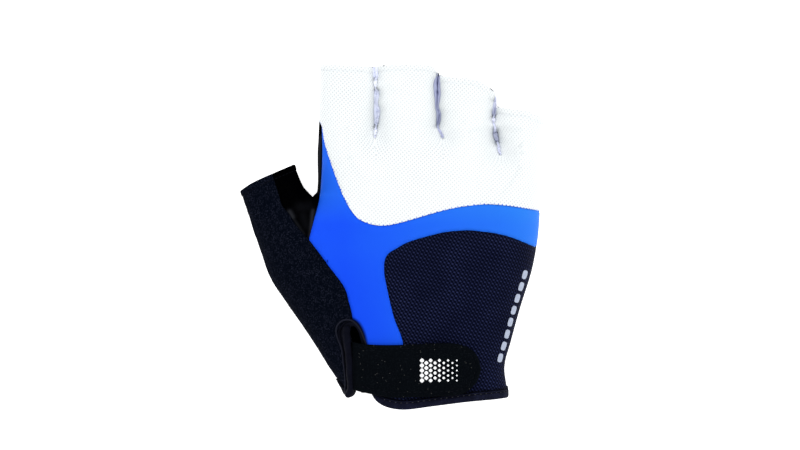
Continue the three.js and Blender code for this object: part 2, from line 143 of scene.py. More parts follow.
# Sections across the thumb, the first eight from the hand's index side. Columns: both ends of each.
THUMB = columns("inner_side inner_at outer_side outer_at height round", [
    (-0.252, -0.045, -0.342, -0.045, 0.72, 0.17),
    (-0.284, 0.050, -0.380, 0.052, 0.74, 0.17),
    (-0.309, 0.125, -0.450, 0.128, 0.76, 0.17),
    (-0.347, 0.200, -0.520, 0.199, 0.78, 0.17),
    (-0.398, 0.290, -0.600, 0.276, 0.80, 0.17),
    (-0.447, 0.400, -0.697, 0.368, 0.80, 0.16),
    (-0.487, 0.500, -0.745, 0.445, 0.75, 0.15),
    (-0.516, 0.606, -0.786, 0.522, 0.70, 0.14),
    (-0.560, 0.648, -0.814, 0.577, 0.67, 0.13),
    (-0.598, 0.710, -0.842, 0.633, 0.63, 0.125),
    (-0.618, 0.755, -0.865, 0.682, 0.62, 0.125),
])
THUMB_CROTCH = 7
# The row where each gap between two fingers starts, and how the slack cloth makes it wander. Columns:
# share of the way from crotch to tip, sideways shift in mm, width in mm, where the deepest line lies
# between its left (-1) and right (1) side, and how high that line is in mm.
GAP_COLUMNS = "share shift width core height"
GAP_SHUT = 0.16
GAPS = {
    "index_middle": (10, [
        (0.00, 0.00, 0.10, 0.0, 9.0), (0.14, 0.15, 0.80, -0.3, 8.8), (0.25, 0.25, 1.70, -0.2, 8.4),
        (0.39, 0.25, 2.40, 0.5, 8.2), (0.52, -0.45, 1.10, 0.0, 8.9), (0.65, -0.10, 1.80, -0.3, 8.8),
        (0.78, -0.75, 0.20, 0.2, 9.0), (0.92, -0.50, 1.40, 0.5, 8.6), (1.07, -0.75, 1.70, 0.3, 8.8),
        (1.50, -0.75, 1.70, 0.3, 8.8)]),
    "middle_ring": (10, [
        (0.00, 0.00, 0.10, 0.0, 9.0), (0.06, -0.40, 0.15, 0.0, 9.0), (0.14, -1.60, 0.70, -0.5, 8.6),
        (0.25, -0.85, 1.60, -0.3, 7.8), (0.36, -0.45, 1.60, 0.5, 6.6), (0.45, -1.15, 1.10, -0.5, 8.4),
        (0.56, -0.75, 1.60, -0.4, 6.6), (0.65, -0.60, 2.20, 0.1, 5.2), (0.79, -0.85, 2.10, 0.4, 4.4),
        (0.88, -0.40, 1.70, 0.4, 4.4), (0.98, -0.25, 0.60, 0.3, 7.6), (1.10, -0.25, 0.30, 0.0, 8.0),
        (1.50, -0.25, 0.30, 0.0, 8.0)]),
    "ring_little": (9, [
        (0.00, 0.00, 0.10, 0.0, 9.0), (0.05, -0.40, 0.15, 0.0, 9.0), (0.11, -0.40, 0.70, 0.3, 8.8),
        (0.195, -0.67, 1.60, -0.4, 8.6), (0.254, -0.90, 1.60, -0.6, 8.0), (0.31, -0.70, 0.45, 0.0, 8.8),
        (0.37, -1.10, 0.15, 0.0, 8.9), (0.458, -0.80, 1.10, 0.4, 6.4), (0.544, -0.67, 1.80, 0.3, 6.0),
        (0.617, -0.60, 1.40, 0.4, 6.4), (0.69, -0.40, 0.30, 0.0, 8.6), (0.80, -0.20, 0.20, 0.0, 8.6),
        (1.50, -0.20, 0.20, 0.0, 8.6)]),
}

# The model's origin is under the middle of the glove, so the pad's corner tells where the shares count from
pad_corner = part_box("strap_hook_pad")[0]
ORIGIN = np.array([
    pad_corner.x - STRAP_START[0] * HAND_WIDTH - PAD_START * STRAP_LENGTH,
    pad_corner.y - STRAP_START[1] * GLOVE_LENGTH + PAD_WIDTH / 2,
])


def along(rows, t):
    """Points of a smooth curve through the rows, at places counted in rows."""
    rows = np.asarray(rows, float)
    ends = np.vstack([2 * rows[0] - rows[1], rows, 2 * rows[-1] - rows[-2]])
    t = np.asarray(t, float)
    i = np.clip(np.floor(t).astype(int), 0, len(rows) - 2)
    f = (t - i)[:, None]
    a, b, c, d = ends[i], ends[i + 1], ends[i + 2], ends[i + 3]
    bend = 2 * a - 5 * b + 4 * c - d
    return 0.5 * (2 * b + (c - a) * f + bend * f ** 2 + (3 * b - 3 * c + d - a) * f ** 3)


def plan(side, at):
    """Shares of the width and the length as places in plan."""
    return np.stack([np.asarray(side) * HAND_WIDTH, np.asarray(at) * GLOVE_LENGTH], -1) + ORIGIN


def plan_curve(rows, per_row=12):
    """A smooth outline in plan through rows of shares."""
    rows = np.asarray(rows, float)[:, :2]
    return plan(*along(rows, np.linspace(0, len(rows) - 1, (len(rows) - 1) * per_row + 1)).T)


def nearest_on(points, line):
    """Distance from points to a line in plan, and which way is straight away from it."""
    best = np.full(len(points), np.inf)
    away = np.zeros((len(points), 2))
    for a, b in zip(line[:-1], line[1:]):
        ab = b - a
        t = np.clip(((points - a) @ ab) / max(ab @ ab, 1e-18), 0, 1)
        gap = points - a - t[:, None] * ab
        d = np.hypot(gap[:, 0], gap[:, 1])
        closer = d < best
        best[closer] = d[closer]
        away[closer] = gap[closer]
    return best, away


# Rows of the form, about a millimetre apart, with one row exactly on each crotch
dense = np.linspace(0, len(HAND["at"]) - 1, 2000)
dense_at = along(HAND["at"][:, None], dense)[:, 0]
stops = [HAND["at"][i] for i in (0, THUMB_CROTCH, 9, 10, len(HAND["at"]) - 1)]
levels = [np.array([stops[0]])]
for low, high in zip(stops[:-1], stops[1:]):
    count = max(2, round((high - low) * GLOVE_LENGTH / GRID))
    levels.append(np.linspace(low, high, count + 1)[1:])
levels = np.concatenate(levels)
rows_t = np.interp(levels, dense_at, dense)
crotch_row = {gap: int(np.argmin(abs(levels - HAND["at"][row]))) for gap, (row, _) in GAPS.items()}
thumb_row = int(np.argmin(abs(levels - HAND["at"][THUMB_CROTCH])))


def form_line(table, side, at, t):
    """One line of the form: plan points, then the height and rounding of the back beside it."""
    values = along(np.stack([table[side], table[at], table["height"], table["round"]], 1), t)
    heights, rounding = values[:, 2] * HAND_HEIGHT, values[:, 3] * HAND_WIDTH
    return np.column_stack([plan(values[:, 0], values[:, 1]), heights, rounding])


def unit(ways):
    """Directions with their lengths made one."""
    return ways / np.linalg.norm(ways, axis=1, keepdims=True)


def run_of(line):
    """How far along a line each of its points lies."""
    return np.concatenate([[0], np.cumsum(np.linalg.norm(np.diff(line, axis=0), axis=1))])


def at_runs(line, run, where):
    """Places on a line, by how far along it they lie."""
    return np.column_stack([np.interp(where, run, line[:, i]) for i in range(line.shape[1])])


def eased(line, times):
    """A line with its small bends smoothed and its ends kept."""
    for _ in range(times):
        line[1:-1] = (line[:-2] + 2 * line[1:-1] + line[2:]) / 4
    return line


THUMB_TIP_ROWS = 36
tip_t = np.linspace(THUMB_CROTCH, len(THUMB["height"]) - 1, THUMB_TIP_ROWS)[1:]
thumb_t = np.concatenate([rows_t[:thumb_row + 1], tip_t])
index_side = form_line(HAND, "index_side", "at", rows_t)
little_side = form_line(HAND, "little_side", "at", rows_t)
thumb_outer = form_line(THUMB, "outer_side", "outer_at", thumb_t)
thumb_inner = form_line(THUMB, "inner_side", "inner_at", thumb_t)
thumb_inner[:thumb_row + 1] = index_side[:thumb_row + 1]

strips = {"thumb": (thumb_outer, thumb_inner)}
outer_edges = [thumb_outer, little_side, thumb_inner[thumb_row:], index_side[thumb_row:]]
gap_edges = {}
gap_ways = {}
left_line = index_side
MM = 0.001
for finger, gap in (("index", "index_middle"), ("middle", "middle_ring"), ("ring", "ring_little")):
    line = form_line(HAND, gap, "at", rows_t)
    first = crotch_row[gap]
    up = np.maximum(0, line[:, 1] - line[first, 1])
    wander = columns(GAP_COLUMNS, GAPS[gap][1])
    share = up / (plan(0, 0.98)[1] - line[first, 1])
    soft = np.linspace(0, 1.5, 301)
    smoothed = {}
    for column in ("shift", "width", "core", "height"):
        values = eased(np.interp(soft, wander["share"], wander[column]), 20)
        smoothed[column] = np.interp(share, soft, values)
    smoothed["width"] = np.maximum(0, smoothed["width"] - GAP_SHUT)
    left, right = line.copy(), line.copy()
    left[:, 0] += (smoothed["shift"] - smoothed["width"] / 2) * MM * (up > 0)
    right[:, 0] += (smoothed["shift"] + smoothed["width"] / 2) * MM * (up > 0)
    gap_ways[gap] = np.column_stack([smoothed[key][first:] for key in ("width", "core", "height")])
    strips[finger] = (left_line, left)
    gap_edges[gap] = (left[first:], right[first:])
    left_line = right
strips["little"] = (left_line, little_side)


def swell(share):
    """The share of its full height that a rounded side has reached."""
    return np.sqrt(1 - (1 - np.clip(share, 0, 1)) ** 2)


def bunched(count):
    """Shares from 0 to 1 in a number of steps, close together at both ends."""
    return 0.5 - 0.5 * np.cos(np.linspace(0, math.pi, count + 1))


def form_strip(left, right, count):
    """A grid of points between two lines of the form, close together at both sides. It holds what each
    point needs to know of the form, row after row."""
    shares = bunched(count)
    grid = left[:, None, :] + (right - left)[:, None, :] * shares[None, :, None]
    points = grid[..., :2].reshape(-1, 2)
    outer = np.min([nearest_on(points, edge[:, :2])[0] for edge in outer_edges], axis=0)
    inner_edges = [edge for pair in gap_edges.values() for edge in pair]
    inner = np.min([nearest_on(points, edge[:, :2])[0] for edge in inner_edges], axis=0)
    distance = np.minimum(outer, inner)
    height, rounding = grid[..., 2].reshape(-1), grid[..., 3].reshape(-1)
    back = SEAM_HEIGHT + (height - SEAM_HEIGHT) * swell(distance / rounding)
    palm = SEAM_HEIGHT * (1 - swell(distance / PALM_ROUNDING))
    shape = grid.shape[:2]
    back_grid = np.concatenate([grid[..., :2], back.reshape(*shape, 1)], -1)
    steps = np.linalg.norm(np.diff(back_grid, axis=1), axis=2)
    arc = np.concatenate([np.zeros((shape[0], 1)), np.cumsum(steps, 1)], 1)
    return {
        "plan": points, "back": back, "palm": palm, "distance": distance, "height": height,
        "rounding": rounding, "gusset": inner < outer, "shape": shape, "arc": arc,
        "mid_x": grid[:, count // 2, 0]}


grids = {}
for name, lines in strips.items():
    grids[name] = form_strip(*lines, THUMB_COLUMNS if name == "thumb" else COLUMNS)

# How far along the cloth each point lies, so that weaves wrap round the sides without stretching
ROWS_BELOW_GAPS = 14
free_row = min(crotch_row.values()) - ROWS_BELOW_GAPS
middle = COLUMNS // 2
offset = grids["ring"]["plan"].reshape(*grids["ring"]["shape"], 2)[:, 0, 0]
sums = {"ring": offset, "little": offset + grids["ring"]["arc"][:, -1]}
sums["middle"] = offset - grids["middle"]["arc"][:, -1]
sums["index"] = sums["middle"] - grids["index"]["arc"][:, -1]
for name in ("index", "middle", "ring", "little"):
    grid = grids[name]
    start = sums[name].copy()
    lead = start[free_row] + grid["arc"][free_row, middle] - grid["mid_x"][free_row]
    start[free_row:] = grid["mid_x"][free_row:] + lead - grid["arc"][free_row:, middle]
    grid["across"] = (start[:, None] + grid["arc"]).reshape(-1)
    grid["along"] = grid["plan"][:, 1]
thumb_grid = grids["thumb"]
thumb_start = grids["index"]["across"].reshape(grids["index"]["shape"])[:, 0]
past_crotch = np.full(len(tip_t), thumb_start[thumb_row])
thumb_start = np.concatenate([thumb_start[:thumb_row + 1], past_crotch])
thumb_grid["across"] = (thumb_start[:, None] - thumb_grid["arc"][:, -1:] + thumb_grid["arc"]).reshape(-1)
thumb_grid["along"] = thumb_grid["plan"][:, 1]


def merged(points):
    """Which points are the first at their place, and what number each point gets."""
    whole = np.round(points * 1e7).astype(np.int64)
    _, first_of, same = np.unique(whole, axis=0, return_index=True, return_inverse=True)
    return first_of, same.reshape(-1)


# All strips as one mesh, with the points on shared lines made one
FORM_KEYS = "plan back palm distance height rounding gusset across along".split()
quads = []
count = 0
for grid in grids.values():
    n, m = grid["shape"]
    index = np.arange(n * m).reshape(n, m) + count
    around = [index[:-1, :-1], index[:-1, 1:], index[1:, 1:], index[1:, :-1]]
    quads.append(np.stack(around, -1).reshape(-1, 4))
    count += n * m
form = {key: np.concatenate([grid[key] for grid in grids.values()]) for key in FORM_KEYS}
first_of, same = merged(form["plan"])
form = {key: values[first_of] for key, values in form.items()}
form_quads = same[np.concatenate(quads)]

# How far open the nearest gap is: where the fingers press together their cloth hides the gusset
nearest_gap = np.full(len(form["back"]), np.inf)
form["open"] = np.ones(len(form["back"]))
GAP_FULLY_OPEN = 1.1
GAP_CLOSED = 0.2
form["shut"] = np.zeros(len(form["back"]))


def shut_share(width):
    """How firmly the two sides of a gap press together, from its width in mm."""
    return np.clip((1.0 - width) / 0.6, 0, 1) ** 1.5


for gap, (left, right) in gap_edges.items():
    middle_x = np.interp(form["plan"][:, 1], left[:, 1], (left[:, 0] + right[:, 0]) / 2)
    width = np.interp(form["plan"][:, 1], left[:, 1], gap_ways[gap][:, 0])
    nearer = abs(form["plan"][:, 0] - middle_x) < nearest_gap
    nearest_gap[nearer] = abs(form["plan"][:, 0] - middle_x)[nearer]
    form["open"][nearer] = np.clip(width / GAP_FULLY_OPEN, GAP_CLOSED, 1)[nearer]
    form["shut"][nearer] = shut_share(width)[nearer]

# The cloth eases over the creases that the rounding leaves in the middle of a finger
EASE_TIMES = 24
sides_of = np.vstack([form_quads[:, [k, (k + 1) % 4]] for k in range(4)])
counts = np.bincount(sides_of.ravel(), minlength=len(form["back"]))
ease = 0.6 * np.clip((form["distance"] - 0.0015) / 0.003, 0, 1)
for _ in range(EASE_TIMES):
    total = np.zeros(len(counts))
    np.add.at(total, sides_of[:, 0], form["back"][sides_of[:, 1]])
    np.add.at(total, sides_of[:, 1], form["back"][sides_of[:, 0]])
    form["back"] += ease * (total / counts - form["back"])

# Beside a gap the cloth bulges; where the gap is closed both sides meet in a shallow crease
BULGE = 0.0012
BULGE_REACH = 0.0015
CREASE_REACH = 0.0030
beside = form["distance"] / BULGE_REACH
form["back"] += np.where(form["gusset"], BULGE * beside * np.exp(1 - beside), 0)
reach = np.hypot(form["distance"], CREASE_REACH * form["shut"]) / form["rounding"]
shallow = SEAM_HEIGHT + (form["height"] - SEAM_HEIGHT) * swell(reach)
form["back"] = np.where(form["gusset"] & (form["shut"] > 0), np.maximum(form["back"], shallow), form["back"])

back_tree = BVHTree.FromPolygons(np.column_stack([form["plan"], form["back"]]).tolist(), form_quads.tolist())
palm_places = np.column_stack([form["plan"], form["palm"]])
palm_tree = BVHTree.FromPolygons(palm_places.tolist(), form_quads[:, ::-1].tolist())
HIGH = 0.1


def dropped_on(tree, x, y, up=1):
    """Where an upright line meets a surface, and which way that faces. up: 1 from above, -1 from below."""
    hit, normal, _, _ = tree.ray_cast(Vector((x, y, HIGH * up)), Vector((0, 0, -up)))
    return hit, normal


def on_form(point):
    """Where the back of the form lies under a plan point, or its nearest place for a point beside it."""
    hit, _ = dropped_on(back_tree, *point)
    if hit is None:
        hit = back_tree.find_nearest(Vector((*point, SEAM_HEIGHT)))[0]
    return np.array(hit)


def outline_depth(points, outline):
    """Distance from each point to a closed outline in plan, positive inside it."""
    distance, _ = nearest_on(points, np.vstack([outline, outline[:1]]))
    x, y = points.T
    inside = np.zeros(len(points), bool)
    for (ax, ay), (bx, by) in zip(outline, np.roll(outline, -1, 0)):
        spans = (ay > y) != (by > y)
        if ay != by:
            inside ^= spans & (x < (bx - ax) * (y - ay) / (by - ay) + ax)
    return np.where(inside, distance, -distance)


def split(points, faces, value, level):
    """The faces cut along the line where a value crosses a level. points holds one row per point."""
    rows = list(points)
    made = {}

    def crossing(i, j):
        key = (min(i, j), max(i, j))
        if key not in made:
            t = (level - value[key[0]]) / (value[key[1]] - value[key[0]])
            made[key] = len(rows)
            rows.append(points[key[0]] * (1 - t) + points[key[1]] * t)
        return made[key]

    out = []
    for face in faces:
        signs = [value[i] > level for i in face]
        on = [abs(value[i] - level) < 1e-9 for i in face]
        if all(s or o for s, o in zip(signs, on)) or all(not s or o for s, o in zip(signs, on)):
            out.append(face)
            continue
        above, below = [], []
        for i, j, s, o in zip(face, face[1:] + face[:1], signs, on):
            if o:
                above.append(i)
                below.append(i)
            else:
                (above if s else below).append(i)
            other = value[j] > level
            if not o and abs(value[j] - level) >= 1e-9 and s != other:
                k = crossing(i, j)
                above.append(k)
                below.append(k)
        for part in (above, below):
            if len(part) > 2:
                out.append(part)
    return np.array(rows), out


def in_use(points, faces):
    """The points that some face uses, and the faces with those points' new numbers."""
    used = np.unique(np.concatenate([np.array(face) for face in faces]))
    place = np.full(len(points), -1)
    place[used] = np.arange(len(used))
    return points[used], [[int(place[i]) for i in face] for face in faces]


def cut_off(points, faces, depth_of, level=0.0):
    """What is left of a piece where its depth is over a level, cut along that line."""
    points, faces = split(points, faces, depth_of(points), level)
    depth = depth_of(points)
    return points, [face for face in faces if depth[face].mean() > level]


_, _, HEIGHT, ACROSS, ALONG, SEAM, RIM = range(7)
FAR = 1.0
ROWS_AT_SEAM = (0.0004, 0.0009, 0.0016)
ROWS_AT_RIM = (0.0005, 0.0021, 0.0025, 0.0029)


def cut_piece(side, outline, rims):
    """A piece of the form's back or palm inside an outline and above the rims, with extra rows of
    points beside its seams and rims. Columns of the points: the place in plan, then the names above."""
    height = form[side]
    seam = outline_depth(form["plan"], outline) if outline is not None else np.full(len(height), FAR)
    over = np.abs(height - SEAM_HEIGHT)
    beside_gusset = over - GUSSET_DEPTH / 2 * form["open"]
    seam = np.minimum(seam, np.where(form["gusset"], beside_gusset, np.hypot(over, form["distance"])))
    rim = np.full(len(height), FAR)
    for outline_of_rim in rims:
        rim = np.minimum(rim, -outline_depth(form["plan"], outline_of_rim))
    points = np.column_stack([form["plan"], height, form["across"], form["along"], seam, rim])
    keep = ((points[form_quads][..., SEAM] > 0).any(1)) & ((points[form_quads][..., RIM] > 0).any(1))
    faces = form_quads[keep].tolist()
    if side == "palm":
        faces = [face[::-1] for face in faces]
    for column, rows_beside in ((SEAM, ROWS_AT_SEAM), (RIM, ROWS_AT_RIM)):
        points, faces = cut_off(points, faces, lambda places: places[:, column])
        for level in rows_beside:
            points, faces = split(points, faces, points[:, column], level)
    return in_use(points, faces)


def facing(points, faces):
    """The average direction that the faces round each point look in."""
    out = np.zeros((len(points), 3))
    for face in faces:
        corners = points[face]
        normal = np.zeros(3)
        for a, b in zip(corners[1:-1], corners[2:]):
            normal += np.cross(a - corners[0], b - corners[0])
        out[face] += normal
    return out / np.maximum(np.linalg.norm(out, axis=1, keepdims=True), 1e-18)


SEAM_SINK = 0.0006
SEAM_SOFT = 0.0007
HEM_SINK = 0.0007
HEM_SOFT = 0.0020
HEM_WIDTH = 0.0025
HEM_RISE = 0.00030
HEM_PAST = 0.0003
HEM_STEP = 0.0004
GROOVE_DEPTH = 0.00028
GROOVE_SOFT = 0.00025
EDGE_DROP = 0.00045
EDGE_SOFT = 0.0006


def seam_relief(points, sink=SEAM_SINK):
    """How far a sewn piece stands off the form: down into its seams, up in its turned hem."""
    lift = -sink * np.exp(-(points[:, SEAM] / SEAM_SOFT) ** 2)
    rim = points[:, RIM]
    turned = HEM_RISE * np.clip((HEM_WIDTH + HEM_PAST - rim) / HEM_STEP, 0, 1)
    groove = -GROOVE_DEPTH * np.exp(-((rim - HEM_WIDTH) / GROOVE_SOFT) ** 2)
    rolled = -EDGE_DROP * np.clip(1 - rim / EDGE_SOFT, 0, 1) ** 2
    return lift + turned + groove + rolled


def soft_noise(points, size, seed=0.0):
    """Smooth random values between about -1 and 1 with waves of a size."""
    shift = (seed, -seed, 2 * seed)
    return np.array([noise.noise(Vector([at / size + move for at, move in zip(p, shift)])) for p in points])


def mesh_piece(name, points, faces, material, uv=None, thickness=None):
    """A mesh object riding on the glove, with its material and, for cloth, its thickness."""
    data = bpy.data.meshes.new(name)
    data.from_pydata([tuple(map(float, p)) for p in points], [], [list(map(int, f)) for f in faces])
    data.materials.append(material)
    if uv is not None:
        layer = data.uv_layers.new(name="cloth")
        corner = np.zeros(len(data.loops), np.int64)
        data.loops.foreach_get("vertex_index", corner)
        layer.data.foreach_set("uv", np.asarray(uv)[corner].astype(np.float32).ravel())
    data.polygons.foreach_set("use_smooth", [True] * len(data.polygons))
    data.update()
    piece = bpy.data.objects.new(name, data)
    bpy.context.scene.collection.objects.link(piece)
    if thickness:
        shell = piece.modifiers.new("cloth thickness", "SOLIDIFY")
        shell.thickness = thickness
        shell.offset = -1
        shell.use_even_offset = False
    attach(piece, "root")
    return piece


def new_material(name, colour, rough, **inputs):
    """A material with its even values on the shader's own sockets, and a way to add nodes to it."""
    material = bpy.data.materials.new(name)
    material.use_nodes = True
    tree = material.node_tree
    shader = tree.nodes["Principled BSDF"]
    shader.inputs["Base Color"].default_value = (*colour, 1)
    shader.inputs["Roughness"].default_value = rough
    for key, value in inputs.items():
        shader.inputs[key.replace("_", " ")].default_value = value

    def node(kind, *values, **settings):
        made = tree.nodes.new("ShaderNode" + kind)
        for key, value in settings.items():
            setattr(made, key, value)
        for place, value in values:
            if isinstance(value, bpy.types.NodeSocket):
                tree.links.new(value, made.inputs[place])
            else:
                made.inputs[place].default_value = value
        return made

    return material, node, shader


def connect(source, socket):
    socket.id_data.links.new(source, socket)


def paint(shader, colour):
    connect(colour, shader.inputs["Base Color"])


def calc(node, operation, *values, clamp=False):
    """One step of arithmetic in a material."""
    return node("Math", *enumerate(values), operation=operation, use_clamp=clamp).outputs[0]


def ramp(node, value, start, end, low=0.0, high=1.0, **settings):
    """A value stretched from one range to another and held at the ends."""
    ends = (("From Min", start), ("From Max", end), ("To Min", low), ("To Max", high))
    return node("MapRange", ("Value", value), *ends, **settings).outputs[0]


def colour_between(node, share, low, high):
    """A colour between two, by a share. Each is three numbers or comes from another node."""
    low, high = [end if isinstance(end, bpy.types.NodeSocket) else (*end, 1) for end in (low, high)]
    return node("Mix", (0, share), (6, low), (7, high), data_type="RGBA").outputs[2]


def on_piece(node):
    """Places on the piece in metres, for patterns that lie in the cloth."""
    return node("TexCoord").outputs["Object"]


def patches(node, scale, detail, roughness=0.5):
    """Soft uneven patches."""
    values = (("Scale", scale), ("Detail", detail), ("Roughness", roughness))
    return node("TexNoise", ("Vector", on_piece(node)), *values).outputs[0]


def grains(node, scale, randomness=1.0):
    """Small grains side by side, each darkest in its middle."""
    values = (("Scale", scale), ("Randomness", randomness))
    return node("TexVoronoi", ("Vector", on_piece(node)), *values).outputs[0]


def value_of(node, name):
    """A value that the mesh holds for each point."""
    return node("Attribute", attribute_name=name).outputs["Fac"]


def set_values(piece, name, values):
    """One value, or one for each point of a piece, for its material to read."""
    values = np.broadcast_to(values, len(piece.data.vertices)).astype(np.float32)
    piece.data.attributes.new(name, "FLOAT", "POINT").data.foreach_set("value", values)


def bumped(node, shader, height, distance, strength):
    bump = node("Bump", ("Strength", strength), ("Distance", distance), ("Height", height))
    connect(bump.outputs[0], shader.inputs["Normal"])


# Fine grain and soft wear of the synthetic leather, and painted highlights where the web's folds catch the
# light
suede, node, shader = new_material("palm_suede", (0.001, 0.001, 0.0012), 0.6, Specular_IOR_Level=0.0)
grain = grains(node, 1500.0)
cloud = patches(node, 60.0, 5.0)
worn = calc(node, "MULTIPLY", cloud, grain)
plain = colour_between(node, worn, (0.0001, 0.0001, 0.0002), (0.0010, 0.0010, 0.0012))
# Painted highlight: the leather is drawn pale grey along the folds of the web, where its fold highlight value
# is set
highlight_share = calc(node, "MULTIPLY", value_of(node, "painted_fold_highlight"), calc(node, "ADD", cloud, 0.45), clamp=True)
paint(shader, colour_between(node, highlight_share, plain, (0.015, 0.016, 0.020)))
bumped(node, shader, calc(node, "ADD", grain, patches(node, 2600.0, 2.0)), 0.00012, 0.7)

FINGER_RIM = [
    (-0.574, 1.002), (-0.484, 0.999), (-0.234, 0.991), (-0.221, 0.995), (-0.083, 0.999), (0.016, 0.995),
    (0.043, 0.969), (0.056, 0.963), (0.158, 0.960), (0.230, 0.950), (0.297, 0.921), (0.303, 0.874),
    (0.440, 0.864), (0.525, 0.840), (0.640, 0.805),
]
THUMB_RIM = [(-0.950, 0.588), (-0.842, 0.633), (-0.771, 0.661), (-0.598, 0.710), (-0.560, 0.724)]
PALM_RIM = [
    (0.431, 0.052), (0.341, 0.046), (0.130, 0.062), (-0.107, 0.072), (-0.280, 0.072), (-0.350, 0.056),
    (-0.385, 0.066), (-0.440, 0.105),
]
past_fingers = np.vstack([plan_curve(FINGER_RIM, 1), plan([2, -2], [2, 2])])
thumb_end = plan_curve(THUMB_RIM, 4)
past_thumb = np.vstack([
    thumb_end, thumb_end[-1] + (0, 0.03), thumb_end[0] + (-0.03, 0.05), thumb_end[0] + (-0.03, 0)])
palm_rim = plan_curve(PALM_RIM)


def moved_line(line, distance):
    """A line in plan moved to its right, by one distance or one for each point."""
    step = unit(np.gradient(line, axis=0))
    return line + np.stack([step[:, 1], -step[:, 0]], 1) * np.broadcast_to(distance, len(line))[:, None]


def above_rim(points, rim):
    """How far points lie above the wrist's rim in plan, negative below it."""
    return -outline_depth(points[:, :2], np.vstack([rim, plan([-2, -2, 2, 2], [0, -2, -2, 0])]))


def drop_below(points, faces, rim):
    """What is left of a piece above the wrist's rim."""
    return in_use(*cut_off(points, faces, lambda places: above_rim(places, rim)))


BINDING_WIDTH = 0.0035
UNDER_BINDING = 0.5
palm_hem = moved_line(palm_rim, BINDING_WIDTH * UNDER_BINDING)
points, faces = drop_below(*cut_piece("palm", None, [past_fingers, past_thumb]), palm_hem)
lift = seam_relief(points) + 0.00010 * soft_noise(points[:, :3], 0.010, 3.0) * (points[:, HEIGHT] > 0.0005)
body = points[:, :3] + facing(points[:, :3], faces) * lift[:, None]
body[:, 2] = np.maximum(body[:, 2], 0.0)
palm = mesh_piece("palm_cloth", body, faces, suede, uv=points[:, [ACROSS, ALONG]], thickness=CLOTH)
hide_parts("palm")

# Knuckle panel
# The white piece over the knuckles and the backs of the four fingers, of thin air mesh, a knit with
# fine holes on the slant. It is sewn to the blue band and hemmed at each finger opening.
KNUCKLE_SEAM = [
    (-0.520, 0.846), (-0.483, 0.825), (-0.465, 0.766), (-0.423, 0.685), (-0.380, 0.616), (-0.338, 0.569),
    (-0.296, 0.545), (-0.218, 0.532), (-0.128, 0.540), (0.062, 0.575), (0.190, 0.590), (0.315, 0.592),
    (0.542, 0.571),
]
SEAM_STEPS = 10
MESH_RISE = (667, 548)
MESH_FALL = (503, -596)

whole_points = np.vstack([
    np.column_stack([form["plan"], form["back"]]),
    np.column_stack([form["plan"], form["palm"]]),
])
whole_first, whole_same = merged(whole_points)
whole_points = whole_points[whole_first]
whole_faces = whole_same[np.vstack([form_quads, form_quads[:, ::-1] + len(form["plan"])])]
whole_facing = facing(whole_points, whole_faces.tolist())
whole_tree = BVHTree.FromPolygons(whole_points.tolist(), whole_faces.tolist())


def nearest_cloth(point):
    """The nearest place on the whole form, and the smooth direction that it faces in."""
    hit, _, index, _ = whole_tree.find_nearest(Vector(point))
    corners = whole_faces[index]
    weight = 1 / (((whole_points[corners] - np.array(hit)) ** 2).sum(1) + 1e-9)
    normal = (whole_facing[corners] * weight[:, None]).sum(0)
    return np.array(hit), normal / np.linalg.norm(normal)


def back_piece(name, outline, material, wrinkle, seed, wrinkle_size=0.018, sink=SEAM_SINK, extra=None,
               wrist=None, tape_edge=None):
    """A sewn panel of the back: cut out, set down into its seams, a little wrinkled, and thick. Each
    point also holds how far it lies from the seam and from the binding."""
    points, faces = cut_piece("back", outline, [past_fingers, past_thumb])
    if wrist is not None:
        points, faces = drop_below(points, faces, wrist)
    lift = seam_relief(points, sink) + wrinkle * soft_noise(points[:, :3], wrinkle_size, seed)
    if wrist is not None:
        lift -= HEM_SINK * np.clip(1 - above_rim(points, wrist) / HEM_SOFT, 0, 1) ** 2
    if extra is not None:
        lift = lift + extra(points)
    body = points[:, :3] + facing(points[:, :3], faces) * lift[:, None]
    piece = mesh_piece(name, body, faces, material, uv=points[:, [ACROSS, ALONG]], thickness=CLOTH)
    set_values(piece, "seam", outline_depth(points[:, :2], outline))
    set_values(piece, "hem", FAR if tape_edge is None else above_rim(points, tape_edge))
    return piece


def painted_hem_groove_shade(node, shader):
    """Paints shade into a cloth where it runs into the deep groove beside the wrist's binding."""
    groove_light = ramp(node, value_of(node, "hem"), 0.0001, 0.0014, 0.05)
    colour = shader.inputs["Base Color"].links[0].from_socket
    paint(shader, colour_between(node, groove_light, (0, 0, 0), colour))


white_mesh, node, shader = new_material("air_mesh", (0.78, 0.80, 0.81), 0.8, Specular_IOR_Level=0.1)


def on_cloth(node):
    """How far across and along the cloth a place is in metres, for weaves that wrap round with it."""
    return node("SeparateXYZ", (0, node("TexCoord").outputs["UV"])).outputs[:2]


def wave(node, place, turns):
    """A cosine over the cloth. turns: how many it makes in a metre across and along."""
    parts = [calc(node, "MULTIPLY", *pair) for pair in zip(place, (2 * math.pi * n for n in turns))]
    return calc(node, "COSINE", calc(node, "ADD", *parts))


place = on_cloth(node)
hole = calc(node, "ADD", wave(node, place, MESH_RISE), wave(node, place, MESH_FALL))
open_share = ramp(node, hole, 0.2, 1.7, interpolation_type="SMOOTHSTEP")
shade = calc(node, "MULTIPLY", open_share, calc(node, "MULTIPLY", patches(node, 45.0, 4.0), 1.3))
netting = colour_between(node, shade, (0.705, 0.733, 0.742), (0.50, 0.535, 0.555))
# At the seam the cut holes let the blue show through
at_seam = ramp(node, value_of(node, "seam"), 0.0007, 0.0001)
cut_holes = ramp(node, calc(node, "ADD", hole, at_seam), 1.3, 2.0)
shows = calc(node, "MULTIPLY", cut_holes, at_seam, clamp=True)
paint(shader, colour_between(node, shows, netting, (0.03, 0.14, 0.7)))
bumped(node, shader, calc(node, "MULTIPLY", open_share, -1.0), 0.00020, 0.7)

